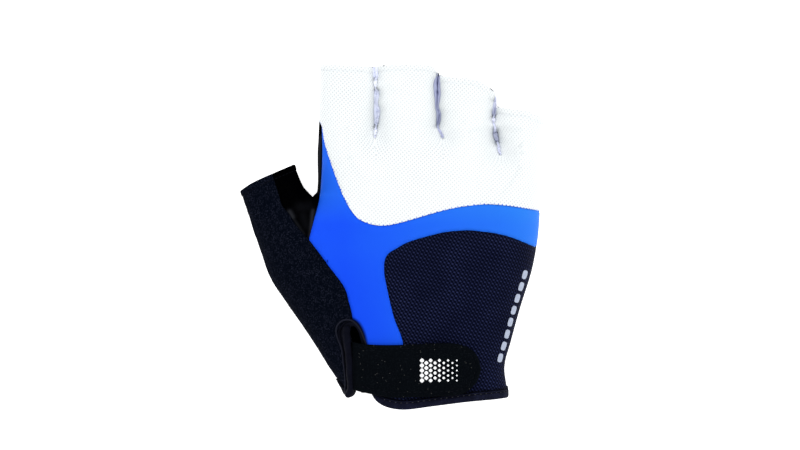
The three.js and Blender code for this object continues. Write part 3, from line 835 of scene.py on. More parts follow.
knuckle_seam = plan_curve(KNUCKLE_SEAM, SEAM_STEPS)
far_right, far_left = plan(2, 0)[0], plan(-2, 0)[0]
far_top = plan(0, 2)[1]
knuckle_outline = np.vstack([
    knuckle_seam, (far_right, knuckle_seam[-1, 1]), (far_right, far_top), (far_left, far_top),
    (far_left, knuckle_seam[0, 1])])
knuckles = back_piece("knuckle_cloth", knuckle_outline, white_mesh, 0.00016, 1.0, sink=0.00020)
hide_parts("knuckle_panel")


LOOK_AHEAD = 0.0002


def even_steps(points, step):
    """Places at even steps along a line, and the line's direction at each."""
    points = np.asarray(points, float)
    run = run_of(points)
    s = np.arange(step / 2, run[-1], step)
    before = at_runs(points, run, np.maximum(s - LOOK_AHEAD, 0))
    after = at_runs(points, run, np.minimum(s + LOOK_AHEAD, run[-1]))
    return at_runs(points, run, s), unit(after - before)


def stitches(name, places, ways, normals, material, length, width):
    """A row of stitches: short threads that bulge out of the cloth and dip back into it."""
    shares = np.array([-0.5, -0.36, -0.12, 0.12, 0.36, 0.5])
    radii = np.array([0.12, 0.8, 1, 1, 0.8, 0.12]) * width / 2
    sides = 6
    points, faces = [], []
    for place, way, normal in zip(places, ways, normals):
        sideways = np.cross(way, normal)
        first = len(points)
        for share, radius in zip(shares, radii):
            centre = place + way * share * length + normal * width * (0.35 - 2.4 * share ** 2)
            for k in range(sides):
                angle = 2 * math.pi * k / sides
                points.append(centre + radius * (math.cos(angle) * sideways + math.sin(angle) * normal))
        for ring in range(len(shares) - 1):
            for k in range(sides):
                a, b = first + ring * sides + k, first + ring * sides + (k + 1) % sides
                faces.append([a, b, b + sides, a + sides])
        faces.append([first + k for k in reversed(range(sides))])
        last = first + (len(shares) - 1) * sides
        faces.append([last + k for k in range(sides)])
    return mesh_piece(name, points, faces, material)


HEM_STITCH_STEP = 0.0017
HEM_STITCH = (0.0012, 0.00026)
LONGEST_SKIP = 0.004


def hem_stitches(name, line, material):
    """Stitches along a line in plan on the back of the form, but none on the side seam."""
    hits = [dropped_on(back_tree, *p)[0] for p in line]
    hits = [tuple(hit) for hit in hits if hit is not None]
    runs = [hits[:1]]
    for before, p in zip(hits, hits[1:]):
        if math.dist(before, p) > LONGEST_SKIP:
            runs.append([])
        runs[-1].append(p)
    places, ways, normals = [], [], []
    for run in (run for run in runs if len(run) > 2):
        for place, way in zip(*even_steps(run, HEM_STITCH_STEP)):
            hit, normal = nearest_cloth(place)
            if abs(hit[2] - SEAM_HEIGHT) >= 0.0006:
                places.append(hit)
                ways.append(way)
                normals.append(normal)
    return stitches(name, places, ways, normals, material, *HEM_STITCH)


def refined(line, step=0.0003):
    """A line with its points closer together."""
    run = run_of(line)
    return at_runs(line, run, np.arange(0, run[-1], step))


white_thread, node, shader = new_material("white_thread", (0.74, 0.77, 0.80), 0.6, Specular_IOR_Level=0.2)
finger_hem = refined(moved_line(plan_curve(FINGER_RIM, 12), HEM_WIDTH))
hem_threads = hem_stitches("finger_hem_stitches", finger_hem, white_thread)
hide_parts("knuckle_panel")

# Dark ends of thread left at the hems beside the gaps. Columns: both ends as shares, near the rim
THREAD_ENDS = [
    (-0.275, 0.9870, -0.238, 0.9905), (-0.205, 0.9935, -0.196, 0.9945), (0.2745, 0.9290, 0.2900, 0.9205)]
dark_end, node, shader = new_material("dark_thread_end", (0.10, 0.10, 0.11), 0.8, Specular_IOR_Level=0.05)
for number, (ax, ay, bx, by) in enumerate(THREAD_ENDS):
    ends = [on_form(p) for p in plan([ax, bx], [ay, by])]
    length = np.linalg.norm(ends[1] - ends[0])
    middle_place = (ends[0] + ends[1]) / 2
    tail = stitches("thread_end_%d" % number, [middle_place + (0, 0, 0.0004)], [(ends[1] - ends[0]) / length],
                    [nearest_cloth(middle_place)[1]], dark_end, length, 0.00030)
    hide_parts("knuckle_panel")

# Side band
# The blue piece of smooth stretch cloth that sweeps from the forefinger down to the wrist and
# across the hand to its outer side. It is sewn between the other panels, edge to edge.
INDEX_SEAM = [
    (-0.483, 0.825), (-0.481, 0.760), (-0.483, 0.690), (-0.491, 0.620), (-0.508, 0.560), (-0.535, 0.492)]
THUMB_SEAM = [
    (-0.535, 0.492), (-0.456, 0.424), (-0.379, 0.357), (-0.356, 0.312), (-0.339, 0.265), (-0.330, 0.200)]
BACK_SEAM = [
    (-0.300, -0.040), (-0.262, 0.078), (-0.140, 0.140), (-0.114, 0.190), (-0.158, 0.274), (-0.192, 0.372),
    (-0.198, 0.407), (-0.195, 0.432), (-0.179, 0.451), (-0.148, 0.464), (-0.080, 0.487), (0.057, 0.511),
    (0.139, 0.517), (0.207, 0.517), (0.344, 0.503), (0.480, 0.470), (0.542, 0.455),
]
# The hem of the back with the wrist slit in it. Columns: side, at, share of the binding's width,
# rolled or not
BACK_RIM = [
    (0.431, 0.042, 1, 0), (0.319, 0.032, 1, 0), (0.167, 0.023, 1, 0), (0.009, 0.010, 1, 0),
    (-0.107, 0.001, 1, 0), (-0.185, 0.008, 1, 0), (-0.234, 0.026, 0.8, 0), (-0.259, 0.054, 0.5, 0),
    (-0.272, 0.091, 0.5, 0), (-0.286, 0.138, 0.5, 0), (-0.297, 0.181, 0.5, 0), (-0.308, 0.216, 0.5, 0),
    (-0.326, 0.240, 0.5, 0), (-0.346, 0.242, 0.85, 0), (-0.352, 0.225, 1.5, 1), (-0.347, 0.200, 1.4, 1),
    (-0.337, 0.153, 1.2, 1), (-0.332, 0.103, 1.1, 1), (-0.326, 0.068, 1, 1), (-0.334, 0.045, 1, 1),
    (-0.354, 0.036, 1, 1), (-0.385, 0.050, 1, 0), (-0.420, 0.075, 1, 0),
]
back_rim = plan_curve(BACK_RIM)
rim_t = np.linspace(0, len(BACK_RIM) - 1, len(back_rim))
rim_widths = along(np.array(BACK_RIM)[:, 2:3], rim_t)[:, 0] * BINDING_WIDTH
back_hem = moved_line(back_rim, rim_widths * UNDER_BINDING)
tape_edge = moved_line(back_rim, rim_widths)
RIB_PITCH = 0.00042
COURSE_PITCH = 0.00055

blue_stretch, node, shader = new_material("stretch_cloth", (0.008, 0.075, 0.75), 0.5, Specular_IOR_Level=0.04)
across, lengthways = on_cloth(node)
rib = calc(node, "SINE", calc(node, "MULTIPLY", across, 2 * math.pi / RIB_PITCH))
course = calc(node, "SINE", calc(node, "MULTIPLY", lengthways, 2 * math.pi / COURSE_PITCH))
# Painted sheen: the cloth is drawn paler to the right and at the forefinger, where it catches the light, and
# deepest by the strap
on_glove = node("SeparateXYZ", (0, on_piece(node)))
rightwards = ramp(node, on_glove.outputs[0], -0.02, 0.062, 0.0, 0.75)
by_index = ramp(node, on_glove.outputs[1], 0.005, 0.018, 0.0, 0.36)
by_strap = ramp(node, on_glove.outputs[1], -0.040, -0.005, -0.13, 0.0)
sheen_by_place = calc(node, "ADD", calc(node, "ADD", by_index, by_strap), rightwards)
# Painted sheen with soft random mottling: the blue is drawn paler by this share
sheen_and_mottle = calc(node, "ADD", sheen_by_place, calc(node, "MULTIPLY", patches(node, 30.0, 3.0), 0.25), clamp=True)
paint(shader, colour_between(node, sheen_and_mottle, (0.0033, 0.051, 0.70), (0.0180, 0.165, 0.68)))
# Painted shade in the groove beside the wrist's binding
painted_hem_groove_shade(node, shader)
bumped(node, shader, calc(node, "MULTIPLY", rib, course), 0.00008, 0.5)

index_seam = plan_curve(INDEX_SEAM, SEAM_STEPS)
thumb_seam = plan_curve(THUMB_SEAM, SEAM_STEPS)
back_seam = plan_curve(BACK_SEAM, SEAM_STEPS)
slit_middle = np.array([thumb_seam[-1, 0], back_seam[0, 1] - 0.03])
band_outline = np.vstack([
    index_seam[::-1], knuckle_seam[SEAM_STEPS + 1:], back_seam[::-1], slit_middle, thumb_seam[1:][::-1]])
band = back_piece("band_cloth", band_outline, blue_stretch, 0.00010, 5.0, wrist=back_hem, tape_edge=tape_edge)
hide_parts("side_band")

# Back panel
# The navy piece over the back of the hand, of coarse ribbed mesh: short slanting floats of yarn in
# staggered rows. It is sewn to the blue band above and bound at the wrist.
navy_mesh, node, shader = new_material("ribbed_mesh", (0.005, 0.007, 0.025), 0.7, Specular_IOR_Level=0.02)
RIB_TURNS = (572, -155)
ROW_TURNS = (119, 608)
place = on_cloth(node)
slants = wave(node, place, np.add(RIB_TURNS, ROW_TURNS).tolist())
counter = wave(node, place, np.subtract(RIB_TURNS, ROW_TURNS).tolist())
rows = wave(node, place, ROW_TURNS)
floats = calc(node, "MULTIPLY", slants, 0.40)
for turns, strength in ((counter, 0.27), (rows, 0.26)):
    floats = calc(node, "ADD", floats, calc(node, "MULTIPLY", turns, strength))
raised = ramp(node, floats, -0.12, 0.75)
lit = calc(node, "MULTIPLY", raised, ramp(node, patches(node, 70.0, 4.0), 0.3, 0.7, 0.55, 1.1))
paint(shader, colour_between(node, lit, (0.0004, 0.0009, 0.0065), (0.0170, 0.0220, 0.0680)))
# Painted shade in the groove beside the wrist's binding
painted_hem_groove_shade(node, shader)
bumped(node, shader, floats, 0.00030, 0.9)
far_below = back_seam[0, 1] - 0.2
back_outline = np.vstack([
    back_seam[::-1], (back_seam[0, 0], far_below), (far_right, far_below), (far_right, back_seam[-1, 1])])
back_cloth = back_piece(
    "back_cloth", back_outline, navy_mesh, 0.00018, 9.0, wrist=back_hem, tape_edge=tape_edge)
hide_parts("back_panel")

# Thumb panel
# Dark towelling over the back of the thumb and its ball, for wiping the brow: a dense pile of small
# loops on a knitted ground, sewn along its edges and hemmed at the thumb opening.
WEB_SEAM = [
    (-0.535, 0.492), (-0.587, 0.531), (-0.621, 0.566), (-0.652, 0.591), (-0.670, 0.626), (-0.690, 0.666),
    (-0.725, 0.740),
]
towelling, node, shader = new_material("towelling", (0.003, 0.004, 0.008), 0.95, Specular_IOR_Level=0.015)
peak = ramp(node, grains(node, 1400.0, 0.85), 0.55, 0.05)
clumps = patches(node, 430.0, 4.0, 0.65)
# Painted highlight: the tops of the loops are drawn paler, where they catch the light; the same pattern also
# gives the bump
loop_highlight_and_height = calc(node, "MULTIPLY", peak, ramp(node, clumps, 0.32, 0.68))
paint(shader, colour_between(node, loop_highlight_and_height, (0.0006, 0.0014, 0.0040), (0.0190, 0.0220, 0.0420)))
bumped(node, shader, calc(node, "ADD", loop_highlight_and_height, clumps), 0.0006, 0.9)

web_seam = plan_curve(WEB_SEAM, SEAM_STEPS)
thumb_outline = np.vstack([
    web_seam[::-1], thumb_seam[1:], slit_middle, (far_left, slit_middle[1] - 0.1), (far_left, far_top)])


def pile_relief(points):
    """The uneven surface of the loops, which lies flat at the seams."""
    return 0.00016 * soft_noise(points[:, :3], 0.0022, 13.0) * np.clip(points[:, SEAM] / 0.002, 0, 1)


thumb_cloth = back_piece("thumb_cloth", thumb_outline, towelling, 0.00030, 12.0, wrinkle_size=0.012,
                         extra=pile_relief, wrist=back_hem, tape_edge=tape_edge)
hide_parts("thumb_panel")

# Thumb web
# A small smooth piece between the thumb and the forefinger, of the same black leather as the palm,
# which folds when the hand lies flat.
web_outline = np.vstack([
    web_seam[::-1], index_seam[:-1][::-1], knuckle_seam[0], (knuckle_seam[0, 0] - 0.03, knuckle_seam[0, 1])])
# Folds in the web. Columns: both ends as shares, height and half width in metres
WEB_FOLDS = [
    (-0.660, 0.600, -0.555, 0.520, 0.0011, 0.0022),
    (-0.620, 0.640, -0.535, 0.560, 0.0009, 0.0018),
    (-0.520, 0.610, -0.500, 0.500, 0.0008, 0.0018),
]


def web_relief(points):
    lift = np.zeros(len(points))
    for ax, ay, bx, by, height, half in WEB_FOLDS:
        distance, _ = nearest_on(points[:, :2], plan([ax, bx], [ay, by]))
        lift += height * np.exp(-(distance / half) ** 2)
        lift -= 0.4 * height * np.exp(-((distance - 2 * half) / half) ** 2)
    return lift * np.clip(points[:, SEAM] / 0.003, 0, 1)


web_cloth = back_piece("web_cloth", web_outline, suede, 0.00045, 17.0, wrinkle_size=0.009, extra=web_relief)
# Painted highlights along the web's folds, where they catch the light. Columns: both ends as shares, half
# width in metres, how bright
FOLD_HIGHLIGHTS = [
    (-0.620, 0.571, -0.607, 0.556, 0.0010, 1.0), (-0.600, 0.548, -0.556, 0.508, 0.0006, 0.45),
    (-0.516, 0.575, -0.527, 0.500, 0.0008, 0.95), (-0.575, 0.585, -0.535, 0.590, 0.0022, 0.14),
    (-0.560, 0.560, -0.545, 0.530, 0.0018, 0.14), (-0.498, 0.630, -0.488, 0.690, 0.0007, 1.0),
    (-0.488, 0.690, -0.486, 0.790, 0.0006, 1.0),
]
painted_fold_highlight = np.zeros(len(web_cloth.data.vertices))
spots = np.array([vertex.co[:2] for vertex in web_cloth.data.vertices])
for ax, ay, bx, by, half, brightness in FOLD_HIGHLIGHTS:
    painted_fold_highlight = np.maximum(painted_fold_highlight, brightness * np.exp(-(nearest_on(spots, plan([ax, bx], [ay, by]))[0] / half) ** 2))
set_values(web_cloth, "painted_fold_highlight", painted_fold_highlight)
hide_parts("thumb_web")
dark_thread, _, _ = new_material("dark_thread", (0.0045, 0.0050, 0.0075), 0.8, Specular_IOR_Level=0.02)
thumb_threads = hem_stitches("thumb_hem_stitches", refined(moved_line(thumb_end, HEM_WIDTH)), dark_thread)
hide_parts("thumb_panel", "thumb_web")

# Finger gussets
# Narrow strips of thin pale cloth let in between the fingers, down one side, round the crotch and up
# the other. With no fingers in the mitt they hang slack and crumple into the gap.
gusset_knit, node, shader = new_material("gusset_cloth", (0.42, 0.44, 0.62), 0.7, Specular_IOR_Level=0.1)
height_of = node("SeparateXYZ", (0, on_piece(node))).outputs[2]
lit = calc(node, "MULTIPLY", ramp(node, height_of, 0.0060, 0.0088), value_of(node, "in_light"))
paint(shader, colour_between(node, lit, (0.11, 0.13, 0.34), (0.72, 0.75, 0.90)))
bumped(node, shader, patches(node, 1400.0, 2.0), 0.00010, 0.6)


def grid_faces(rows, columns):
    """The faces of a sheet whose points stand in rows."""
    return [[i * columns + j, (i + 1) * columns + j, (i + 1) * columns + j + 1, i * columns + j + 1]
            for i in range(rows - 1) for j in range(columns - 1)]


GUSSET_ROWS = 12
GUSSET_STEP = 0.0004
GUSSET_CLOTH = 0.0005
GUSSET_LAP = 0.0004
PAST_RIM = 0.0015
FAN_STEPS = 9
# How much light reaches into each gap
IN_LIGHT = {"index_middle": 1.0, "middle_ring": 0.5, "ring_little": 0.8}
for number, (gap, (left, right)) in enumerate(gap_edges.items()):
    ways = gap_ways[gap]
    path = np.vstack([np.hstack([left, ways])[::-1], np.hstack([right, ways])[1:]])
    run = run_of(path[:, :2])
    crotch = run[len(left) - 1]
    s = np.arange(0, run[-1], GUSSET_STEP)
    stations = at_runs(path, run, s)
    near = outline_depth(stations[:, :2], past_fingers) < PAST_RIM
    stations, s = stations[near], s[near]
    way = unit(np.gradient(stations[:, :2], axis=0))
    to_gap = np.stack([-way[:, 1], way[:, 0]], 1)
    turn_round = int(np.searchsorted(s, crotch))
    fan = np.linspace(0, math.pi, FAN_STEPS)
    corner = np.repeat(path[len(left) - 1][None], len(fan), 0)
    stations = np.vstack([stations[:turn_round], corner, stations[turn_round:]])
    to_gap = np.vstack([to_gap[:turn_round], np.stack([np.cos(fan), np.sin(fan)], 1), to_gap[turn_round:]])
    s = np.concatenate([s[:turn_round], np.full(len(fan), crotch), s[turn_round:]])
    onwards = np.where(s < crotch, 1, -1)
    height, rounding, width, core, lowest = stations[:, 2:].T
    width_open = np.clip(width / GAP_FULLY_OPEN, GAP_CLOSED, 1)
    room = width * MM / 2 * (1 + onwards * core)
    pressed = (height - SEAM_HEIGHT) * swell(CREASE_REACH * shut_share(width) / rounding)
    top_seam = SEAM_HEIGHT + np.maximum(GUSSET_DEPTH / 2 * width_open, pressed) + GUSSET_LAP
    low_seam = SEAM_HEIGHT - GUSSET_DEPTH / 2 * width_open
    deepest = np.minimum(lowest * MM + 0.9 * pressed, top_seam - 0.0003)
    points = []
    for row in range(GUSSET_ROWS + 1):
        share = row / GUSSET_ROWS
        down = share * 2 if share < 0.5 else (1 - share) * 2
        z = deepest + ((top_seam if share < 0.5 else low_seam) - deepest) * (1 - down ** 1.3)
        above = z > SEAM_HEIGHT
        bend = np.where(above, rounding, PALM_ROUNDING)
        full = np.where(above, height - SEAM_HEIGHT, SEAM_HEIGHT)
        climbed = np.where(above, np.maximum(0, z - SEAM_HEIGHT - pressed), SEAM_HEIGHT - z)
        inset = bend * (1 - np.sqrt(np.maximum(0, 1 - (climbed / full) ** 2)))
        where = np.column_stack([stations[:, :2], z])
        slack = soft_noise(where * (1, 1, 0.3), 0.0040, 21.0 + 7 * number)
        crease = soft_noise(where, 0.0015, 33.0 + 5 * number)
        out = (-inset - 0.00005) + down ** 0.8 * (room * (1 + 0.25 * slack * (1 - down)) + inset + 0.00005)
        out = np.minimum(out + 0.00030 * crease * math.sin(math.pi * down), room - 0.00004)
        folded = np.column_stack([where[:, 0] * 0.5, where[:, 1] + 0.0008 * to_gap[:, 0] * down, 0 * z])
        folds = soft_noise(folded, 0.0013, 5.0 + number)
        lifted = z + math.sin(math.pi * share) * (0.0008 * crease + 0.0018 * folds)
        points.append(np.column_stack([stations[:, :2] + to_gap * out[:, None], lifted]))
    faces = grid_faces(GUSSET_ROWS + 1, len(stations))
    points, faces = in_use(*cut_off(
        np.vstack(points), faces, lambda places: -outline_depth(places[:, :2], past_fingers), 0.0001))
    gusset = mesh_piece("gusset_" + gap + "_cloth", points, faces, gusset_knit, thickness=GUSSET_CLOTH)
    set_values(gusset, "in_light", IN_LIGHT[gap])
    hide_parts("gusset_" + gap)

# Wrist binding
# Woven tape folded over the raw edge all round the wrist and up and down the slit, and stitched
# through. On the thumb side of the slit it is rolled over into a soft round cord.
tape, node, shader = new_material("binding_tape", (0.005, 0.006, 0.014), 0.7, Specular_IOR_Level=0.03)
cord_weave = grains(node, 1900.0, 0.4)
cloud = patches(node, 240.0, 4.0)
lit = ramp(node, calc(node, "MULTIPLY", cord_weave, cloud), 0.05, 0.45)
woven = colour_between(node, lit, (0.0008, 0.0013, 0.0060), (0.0190, 0.0225, 0.0580))
# Painted shade: the tape is drawn darker where its out-of-shade value is low, in the folds at the slit and on
# the roll
in_shade = colour_between(node, value_of(node, "out_of_shade"), (0.0012, 0.0014, 0.0036), woven)
# Deep creases hold no light
nearby = node("AmbientOcclusion", ("Distance", 0.002)).outputs["AO"]
paint(shader, colour_between(node, ramp(node, nearby, 0.35, 0.95, 0.1), (0, 0, 0), in_shade))
bumped(node, shader, calc(node, "ADD", cord_weave, cloud), 0.00018, 0.8)

RIM_STEP = 0.0006


def rim_places(line, tree, up, values):
    """The part of a rim that lies on the form, as places on the cloth with a value at each."""
    count = range(len(line))
    keep = []
    for t in np.linspace(0, len(line) - 1, len(line) * 12):
        hit, _ = dropped_on(tree, np.interp(t, count, line[:, 0]), np.interp(t, count, line[:, 1]), up)
        if hit is not None:
            keep.append((*hit, np.interp(t, count, values)))
    return np.array(keep)


on_back = rim_places(back_rim, back_tree, 1, rim_widths)
on_palm = rim_places(palm_rim, palm_tree, -1, np.full(len(palm_rim), BINDING_WIDTH))[::-1]
loop = np.vstack([on_back, on_palm, on_back[:1]])
loop, _ = even_steps(loop, RIM_STEP)
for _ in range(4):
    loop = (np.roll(loop, 1, 0) + 2 * loop + np.roll(loop, -1, 0)) / 4
# The tape's section. Columns: share of its width in from the rim, height above the cloth in metres
TAPE = [
    (1.00, -0.0006), (1.00, 0.00020), (0.95, 0.00045), (0.86, 0.00046), (0.78, -0.00015), (0.70, 0.00048),
    (0.50, 0.00055), (0.25, 0.00052), (0.08, 0.00036), (0.0, 0.0), (-0.03, -0.0006), (0.03, -0.0012),
    (0.20, -0.0015), (0.60, -0.00155), (0.97, -0.0014), (1.00, -0.0009),
]


def inwards(line):
    """The way into the glove at each place of a closed line on the cloth."""
    way = unit(np.roll(line[:, :3], -1, 0) - np.roll(line[:, :3], 1, 0))
    normals = np.array([nearest_cloth(p[:3])[1] for p in line])
    for _ in range(3):
        normals = (np.roll(normals, 1, 0) + normals + np.roll(normals, -1, 0)) / 3
    return unit(np.cross(way, unit(normals)))


inward = inwards(loop)
CRUMPLE = 0.00012
ON_TABLE = 0.00002
rows = []
for share, height in TAPE:
    reach = loop[:, :3] + inward * (loop[:, 3] * share)[:, None]
    on, off = np.array([nearest_cloth(p) for p in reach]).transpose(1, 0, 2)
    if share < 0:
        on = reach
    lumps = CRUMPLE * soft_noise(on, 0.004, 41.0) * (height > 0)
    rows.append(on + off * (height + lumps)[:, None])
n = len(loop)
faces = []
for row in range(len(TAPE)):
    for k in range(n):
        after, over = (k + 1) % n, (row + 1) % len(TAPE)
        faces.append([row * n + k, row * n + after, over * n + after, over * n + k])
edge_tape = np.vstack(rows)
edge_tape[:, 2] = np.maximum(edge_tape[:, 2], ON_TABLE)
binding = mesh_piece("binding_tape_cloth", edge_tape, faces, tape)
# Painted shade: the tape is drawn darker in the folds at the slit than along the hem
from_slit = (edge_tape[:, 0] - plan(-0.27, 0)[0]) / 0.010
out_of_shade = np.where(edge_tape[:, 2] < SEAM_HEIGHT - 0.001, 1, np.clip(from_slit, 0.10, 0.42))
set_values(binding, "out_of_shade", out_of_shade)
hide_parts("wrist_binding")

# The stitching through the tape, and the fine cord along its inner edge at the slit
TAPE_STITCH_IN = 0.78
TAPE_STITCH_STEP = 0.0024
TAPE_STITCH = (0.0008, 0.00028)
stitch_line = loop[:, :3] + inward * loop[:, 3:] * TAPE_STITCH_IN
stitch_places, stitch_ways = even_steps(stitch_line, TAPE_STITCH_STEP)
beside_slit = plan(-0.20, 0)[0]
along_hem = (stitch_places[:, 0] > beside_slit) & (stitch_places[:, 2] > SEAM_HEIGHT)
stitch_places, stitch_ways = stitch_places[along_hem], stitch_ways[along_hem]
pairs = [nearest_cloth(p) for p in stitch_places]
pale_thread, _, _ = new_material("pale_thread", (0.045, 0.047, 0.055), 0.7, Specular_IOR_Level=0.05)
tape_threads = stitches("binding_stitches", [p + up * 0.0002 for p, up in pairs], stitch_ways,
                        [up for _, up in pairs], pale_thread, *TAPE_STITCH)
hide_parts("wrist_binding")


def tube(name, centres, normals, radius, material, sides=8, flat=1.0, lumps=0.0, seed=0.0):
    """A soft round cord along a line, closed at both ends."""
    centres = np.asarray(centres, float)
    way = unit(np.gradient(centres, axis=0))
    normals = unit(normals - (normals * way).sum(1, keepdims=True) * way)
    sideways = np.cross(way, normals)
    radius = np.broadcast_to(radius, len(centres))
    points, faces = [], []
    for k in range(sides):
        angle = 2 * math.pi * k / sides
        ring = math.cos(angle) * sideways + flat * math.sin(angle) * normals
        uneven = 1 + lumps * soft_noise(centres + ring * 0.003, 0.0032, seed)
        points.append(centres + ring * (radius * uneven)[:, None])
    n = len(centres)
    for k in range(sides):
        for i in range(n - 1):
            a, b = k * n + i, ((k + 1) % sides) * n + i
            faces.append([a, b, b + 1, a + 1])
    faces.append([k * n for k in reversed(range(sides))])
    faces.append([k * n + n - 1 for k in range(sides)])
    return mesh_piece(name, np.vstack(points), faces, material)


def raised_line(line, height, times):
    """A line in plan laid over the cloth at a height and eased, and the way up at each of its points."""
    places = [nearest_cloth(on_form(p)) for p in line]
    ups = np.array([up for _, up in places])
    return eased(np.array([p + up * height for p, up in places]), times), ups


rolled = np.array(BACK_RIM)[:, 3]
first_rolled, last_rolled = np.flatnonzero(rolled == 1)[[0, -1]]
ROLL_RADIUS = 0.00160
ROLL_IN = 0.00120
ROLL_UP = 0.00125
roll_line = refined(plan_curve(BACK_RIM[first_rolled - 1:last_rolled + 1], 16), 0.0005)
roll_centres, roll_ups = raised_line(moved_line(roll_line, ROLL_IN), ROLL_UP, 6)
share = np.linspace(0, 1, len(roll_centres))
rounded_ends = np.minimum(1, np.minimum(share / 0.06, (1 - share) / 0.05) ** 0.5 + 0.25)
roll = tube("binding_roll_cloth", roll_centres, roll_ups, ROLL_RADIUS * rounded_ends, tape,
            sides=16, flat=0.92, lumps=0.12, seed=51.0)
# The roll is drawn in painted shade, like the tape in the folds at the slit
set_values(roll, "out_of_shade", 0.10)
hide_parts("wrist_binding")

# The fine cord's own way: round the slit's head, down beside the roll and round its foot
PIPING = [
    (-0.279, 0.190), (-0.301, 0.227), (-0.325, 0.250), (-0.348, 0.260), (-0.379, 0.260), (-0.404, 0.247),
    (-0.411, 0.227), (-0.402, 0.204), (-0.386, 0.178), (-0.379, 0.143), (-0.371, 0.103), (-0.368, 0.078),
    (-0.369, 0.058), (-0.360, 0.040),
]
PIPING_RADIUS = 0.00038
PIPING_UP = 0.0004
piping_centres, piping_ups = raised_line(refined(plan_curve(PIPING, 16), 0.0005), PIPING_UP, 3)
piping_tape, _, _ = new_material("binding_edge", (0.0075, 0.0085, 0.016), 0.7, Specular_IOR_Level=0.05)
piping = tube("binding_edge_cord", piping_centres, piping_ups, PIPING_RADIUS, piping_tape, lumps=0.1)
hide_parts("wrist_binding")

# Wrist strap
# A tab of black loop cloth on a firm backing, round at its free end and stitched near its edge. It
# comes out from beside the rolled binding and closes over the back of the wrist.
STRAP_WIDTH = 0.022
STRAP_BOTTOM = 0.0015
STRAP_THICKNESS = 0.0016
# Columns: share of its length, upper and lower edge as shares of its width from its middle line
STRAP = [
    (0.000, 0.550, -0.344), (0.110, 0.510, -0.424), (0.270, 0.498, -0.508), (0.450, 0.508, -0.506),
    (0.620, 0.530, -0.494), (0.785, 0.525, -0.479), (0.880, 0.455, -0.393), (0.935, 0.344, -0.260),
    (0.960, 0.219, -0.143), (0.974, 0.060, 0.000),
]
STRAP_ROWS = 150
STRAP_COLUMNS = 44
STRAP_CLOTH = 0.0013
STRAP_ROUNDING = 0.0011
STRAP_TUCK = 0.0016
TUCK_LENGTH = 0.006
TUCK_DROP = 0.0021
loop_cloth, node, shader = new_material("strap_cloth", (0.002, 0.003, 0.004), 0.9, Specular_IOR_Level=0.015)
fuzz = patches(node, 2300.0, 3.0, 0.7)
lit = calc(node, "MULTIPLY", ramp(node, fuzz, 0.52, 0.75), patches(node, 130.0, 3.0))
paint(shader, colour_between(node, lit, (0.0010, 0.0016, 0.0026), (0.0100, 0.0130, 0.0170)))
bumped(node, shader, fuzz, 0.00022, 0.9)

strap_start = plan(*STRAP_START)
strap_t = np.linspace(0, 1, STRAP_ROWS) ** 0.75 * (len(STRAP) - 1)
strap_lines = along(STRAP, strap_t)
strap_x = strap_start[0] + strap_lines[:, 0] * STRAP_LENGTH
upper_y = strap_start[1] + strap_lines[:, 1] * STRAP_WIDTH
lower_y = strap_start[1] + strap_lines[:, 2] * STRAP_WIDTH
upper_edge, lower_edge = np.column_stack([strap_x, upper_y]), np.column_stack([strap_x, lower_y])
strap_outline = np.vstack([lower_edge, upper_edge[::-1]])
shares = bunched(STRAP_COLUMNS)
grid_y = lower_y[:, None] + (upper_y - lower_y)[:, None] * shares
flat_grid = np.column_stack([np.repeat(strap_x, len(shares)), grid_y.ravel()])
edge = np.abs(outline_depth(flat_grid, strap_outline))
tuck = np.clip(1 - (flat_grid[:, 0] - strap_start[0]) / TUCK_LENGTH, 0, 1)
flat_grid[:, 0] -= STRAP_TUCK * tuck ** 2
STITCH_IN = 0.0019
STITCH_DENT = 0.00030
top = STRAP_THICKNESS * (0.35 + 0.65 * swell(edge / STRAP_ROUNDING))
top -= STITCH_DENT * np.exp(-((edge - STITCH_IN) / 0.0004) ** 2)
top -= TUCK_DROP * tuck ** 2
strap_places = [nearest_cloth(on_form(p)) for p in flat_grid]
strap_points = np.array([p + up * (STRAP_BOTTOM + height) for (p, up), height in zip(strap_places, top)])
strap_points[:, 2] += 0.00010 * soft_noise(strap_points, 0.006, 61.0)
faces = grid_faces(STRAP_ROWS, len(shares))
strap = mesh_piece("strap_cloth_tab", strap_points, faces, loop_cloth, uv=flat_grid, thickness=STRAP_CLOTH)
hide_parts("wrist_strap")

# Its topstitching, and the pale lint that loop cloth picks up
STRAP_STITCH_STEP = 0.0022
STRAP_STITCH = (0.0012, 0.00030)
strap_tree = BVHTree.FromPolygons(strap_points.tolist(), faces)
strap_edge = np.vstack([upper_edge, lower_edge[::-1]])
strap_edge = refined(strap_edge[(strap_edge[:, 0] > strap_start[0] + 0.0015)], 0.0004)
places, ways, ups = [], [], []
for p, w in zip(*even_steps(moved_line(strap_edge, STITCH_IN), STRAP_STITCH_STEP)):
    hit, up = dropped_on(strap_tree, *p)
    if hit is not None:
        up = np.array(up)
        w = np.array([w[0], w[1], 0.0])
        w -= (w @ up) * up
        places.append(np.array(hit))
        ways.append(w / np.linalg.norm(w))
        ups.append(up)
strap_threads = stitches("strap_topstitches", places, ways, ups, dark_thread, *STRAP_STITCH)
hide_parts("wrist_strap")
LINT_BITS = 46
LINT_BIT = (0.0005, 0.00018)
chance = np.random.default_rng(7)
places, ways, ups = [], [], []
for _ in range(LINT_BITS):
    p = strap_start + (chance.uniform(0.002, STRAP_LENGTH * 0.98), chance.uniform(-0.5, 0.5) * STRAP_WIDTH)
    hit, up = dropped_on(strap_tree, *p)
    if hit is not None:
        turn_to = chance.uniform(0, 2 * math.pi)
        places.append(np.array(hit) + np.array(up) * 0.0001)
        ways.append(np.array([math.cos(turn_to), math.sin(turn_to), 0]))
        ups.append(np.array(up))
lint, _, _ = new_material("lint", (0.060, 0.062, 0.060), 0.9, Specular_IOR_Level=0.05)
lint_bits = stitches("strap_lint", places, ways, ups, lint, *LINT_BIT)
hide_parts("wrist_strap")

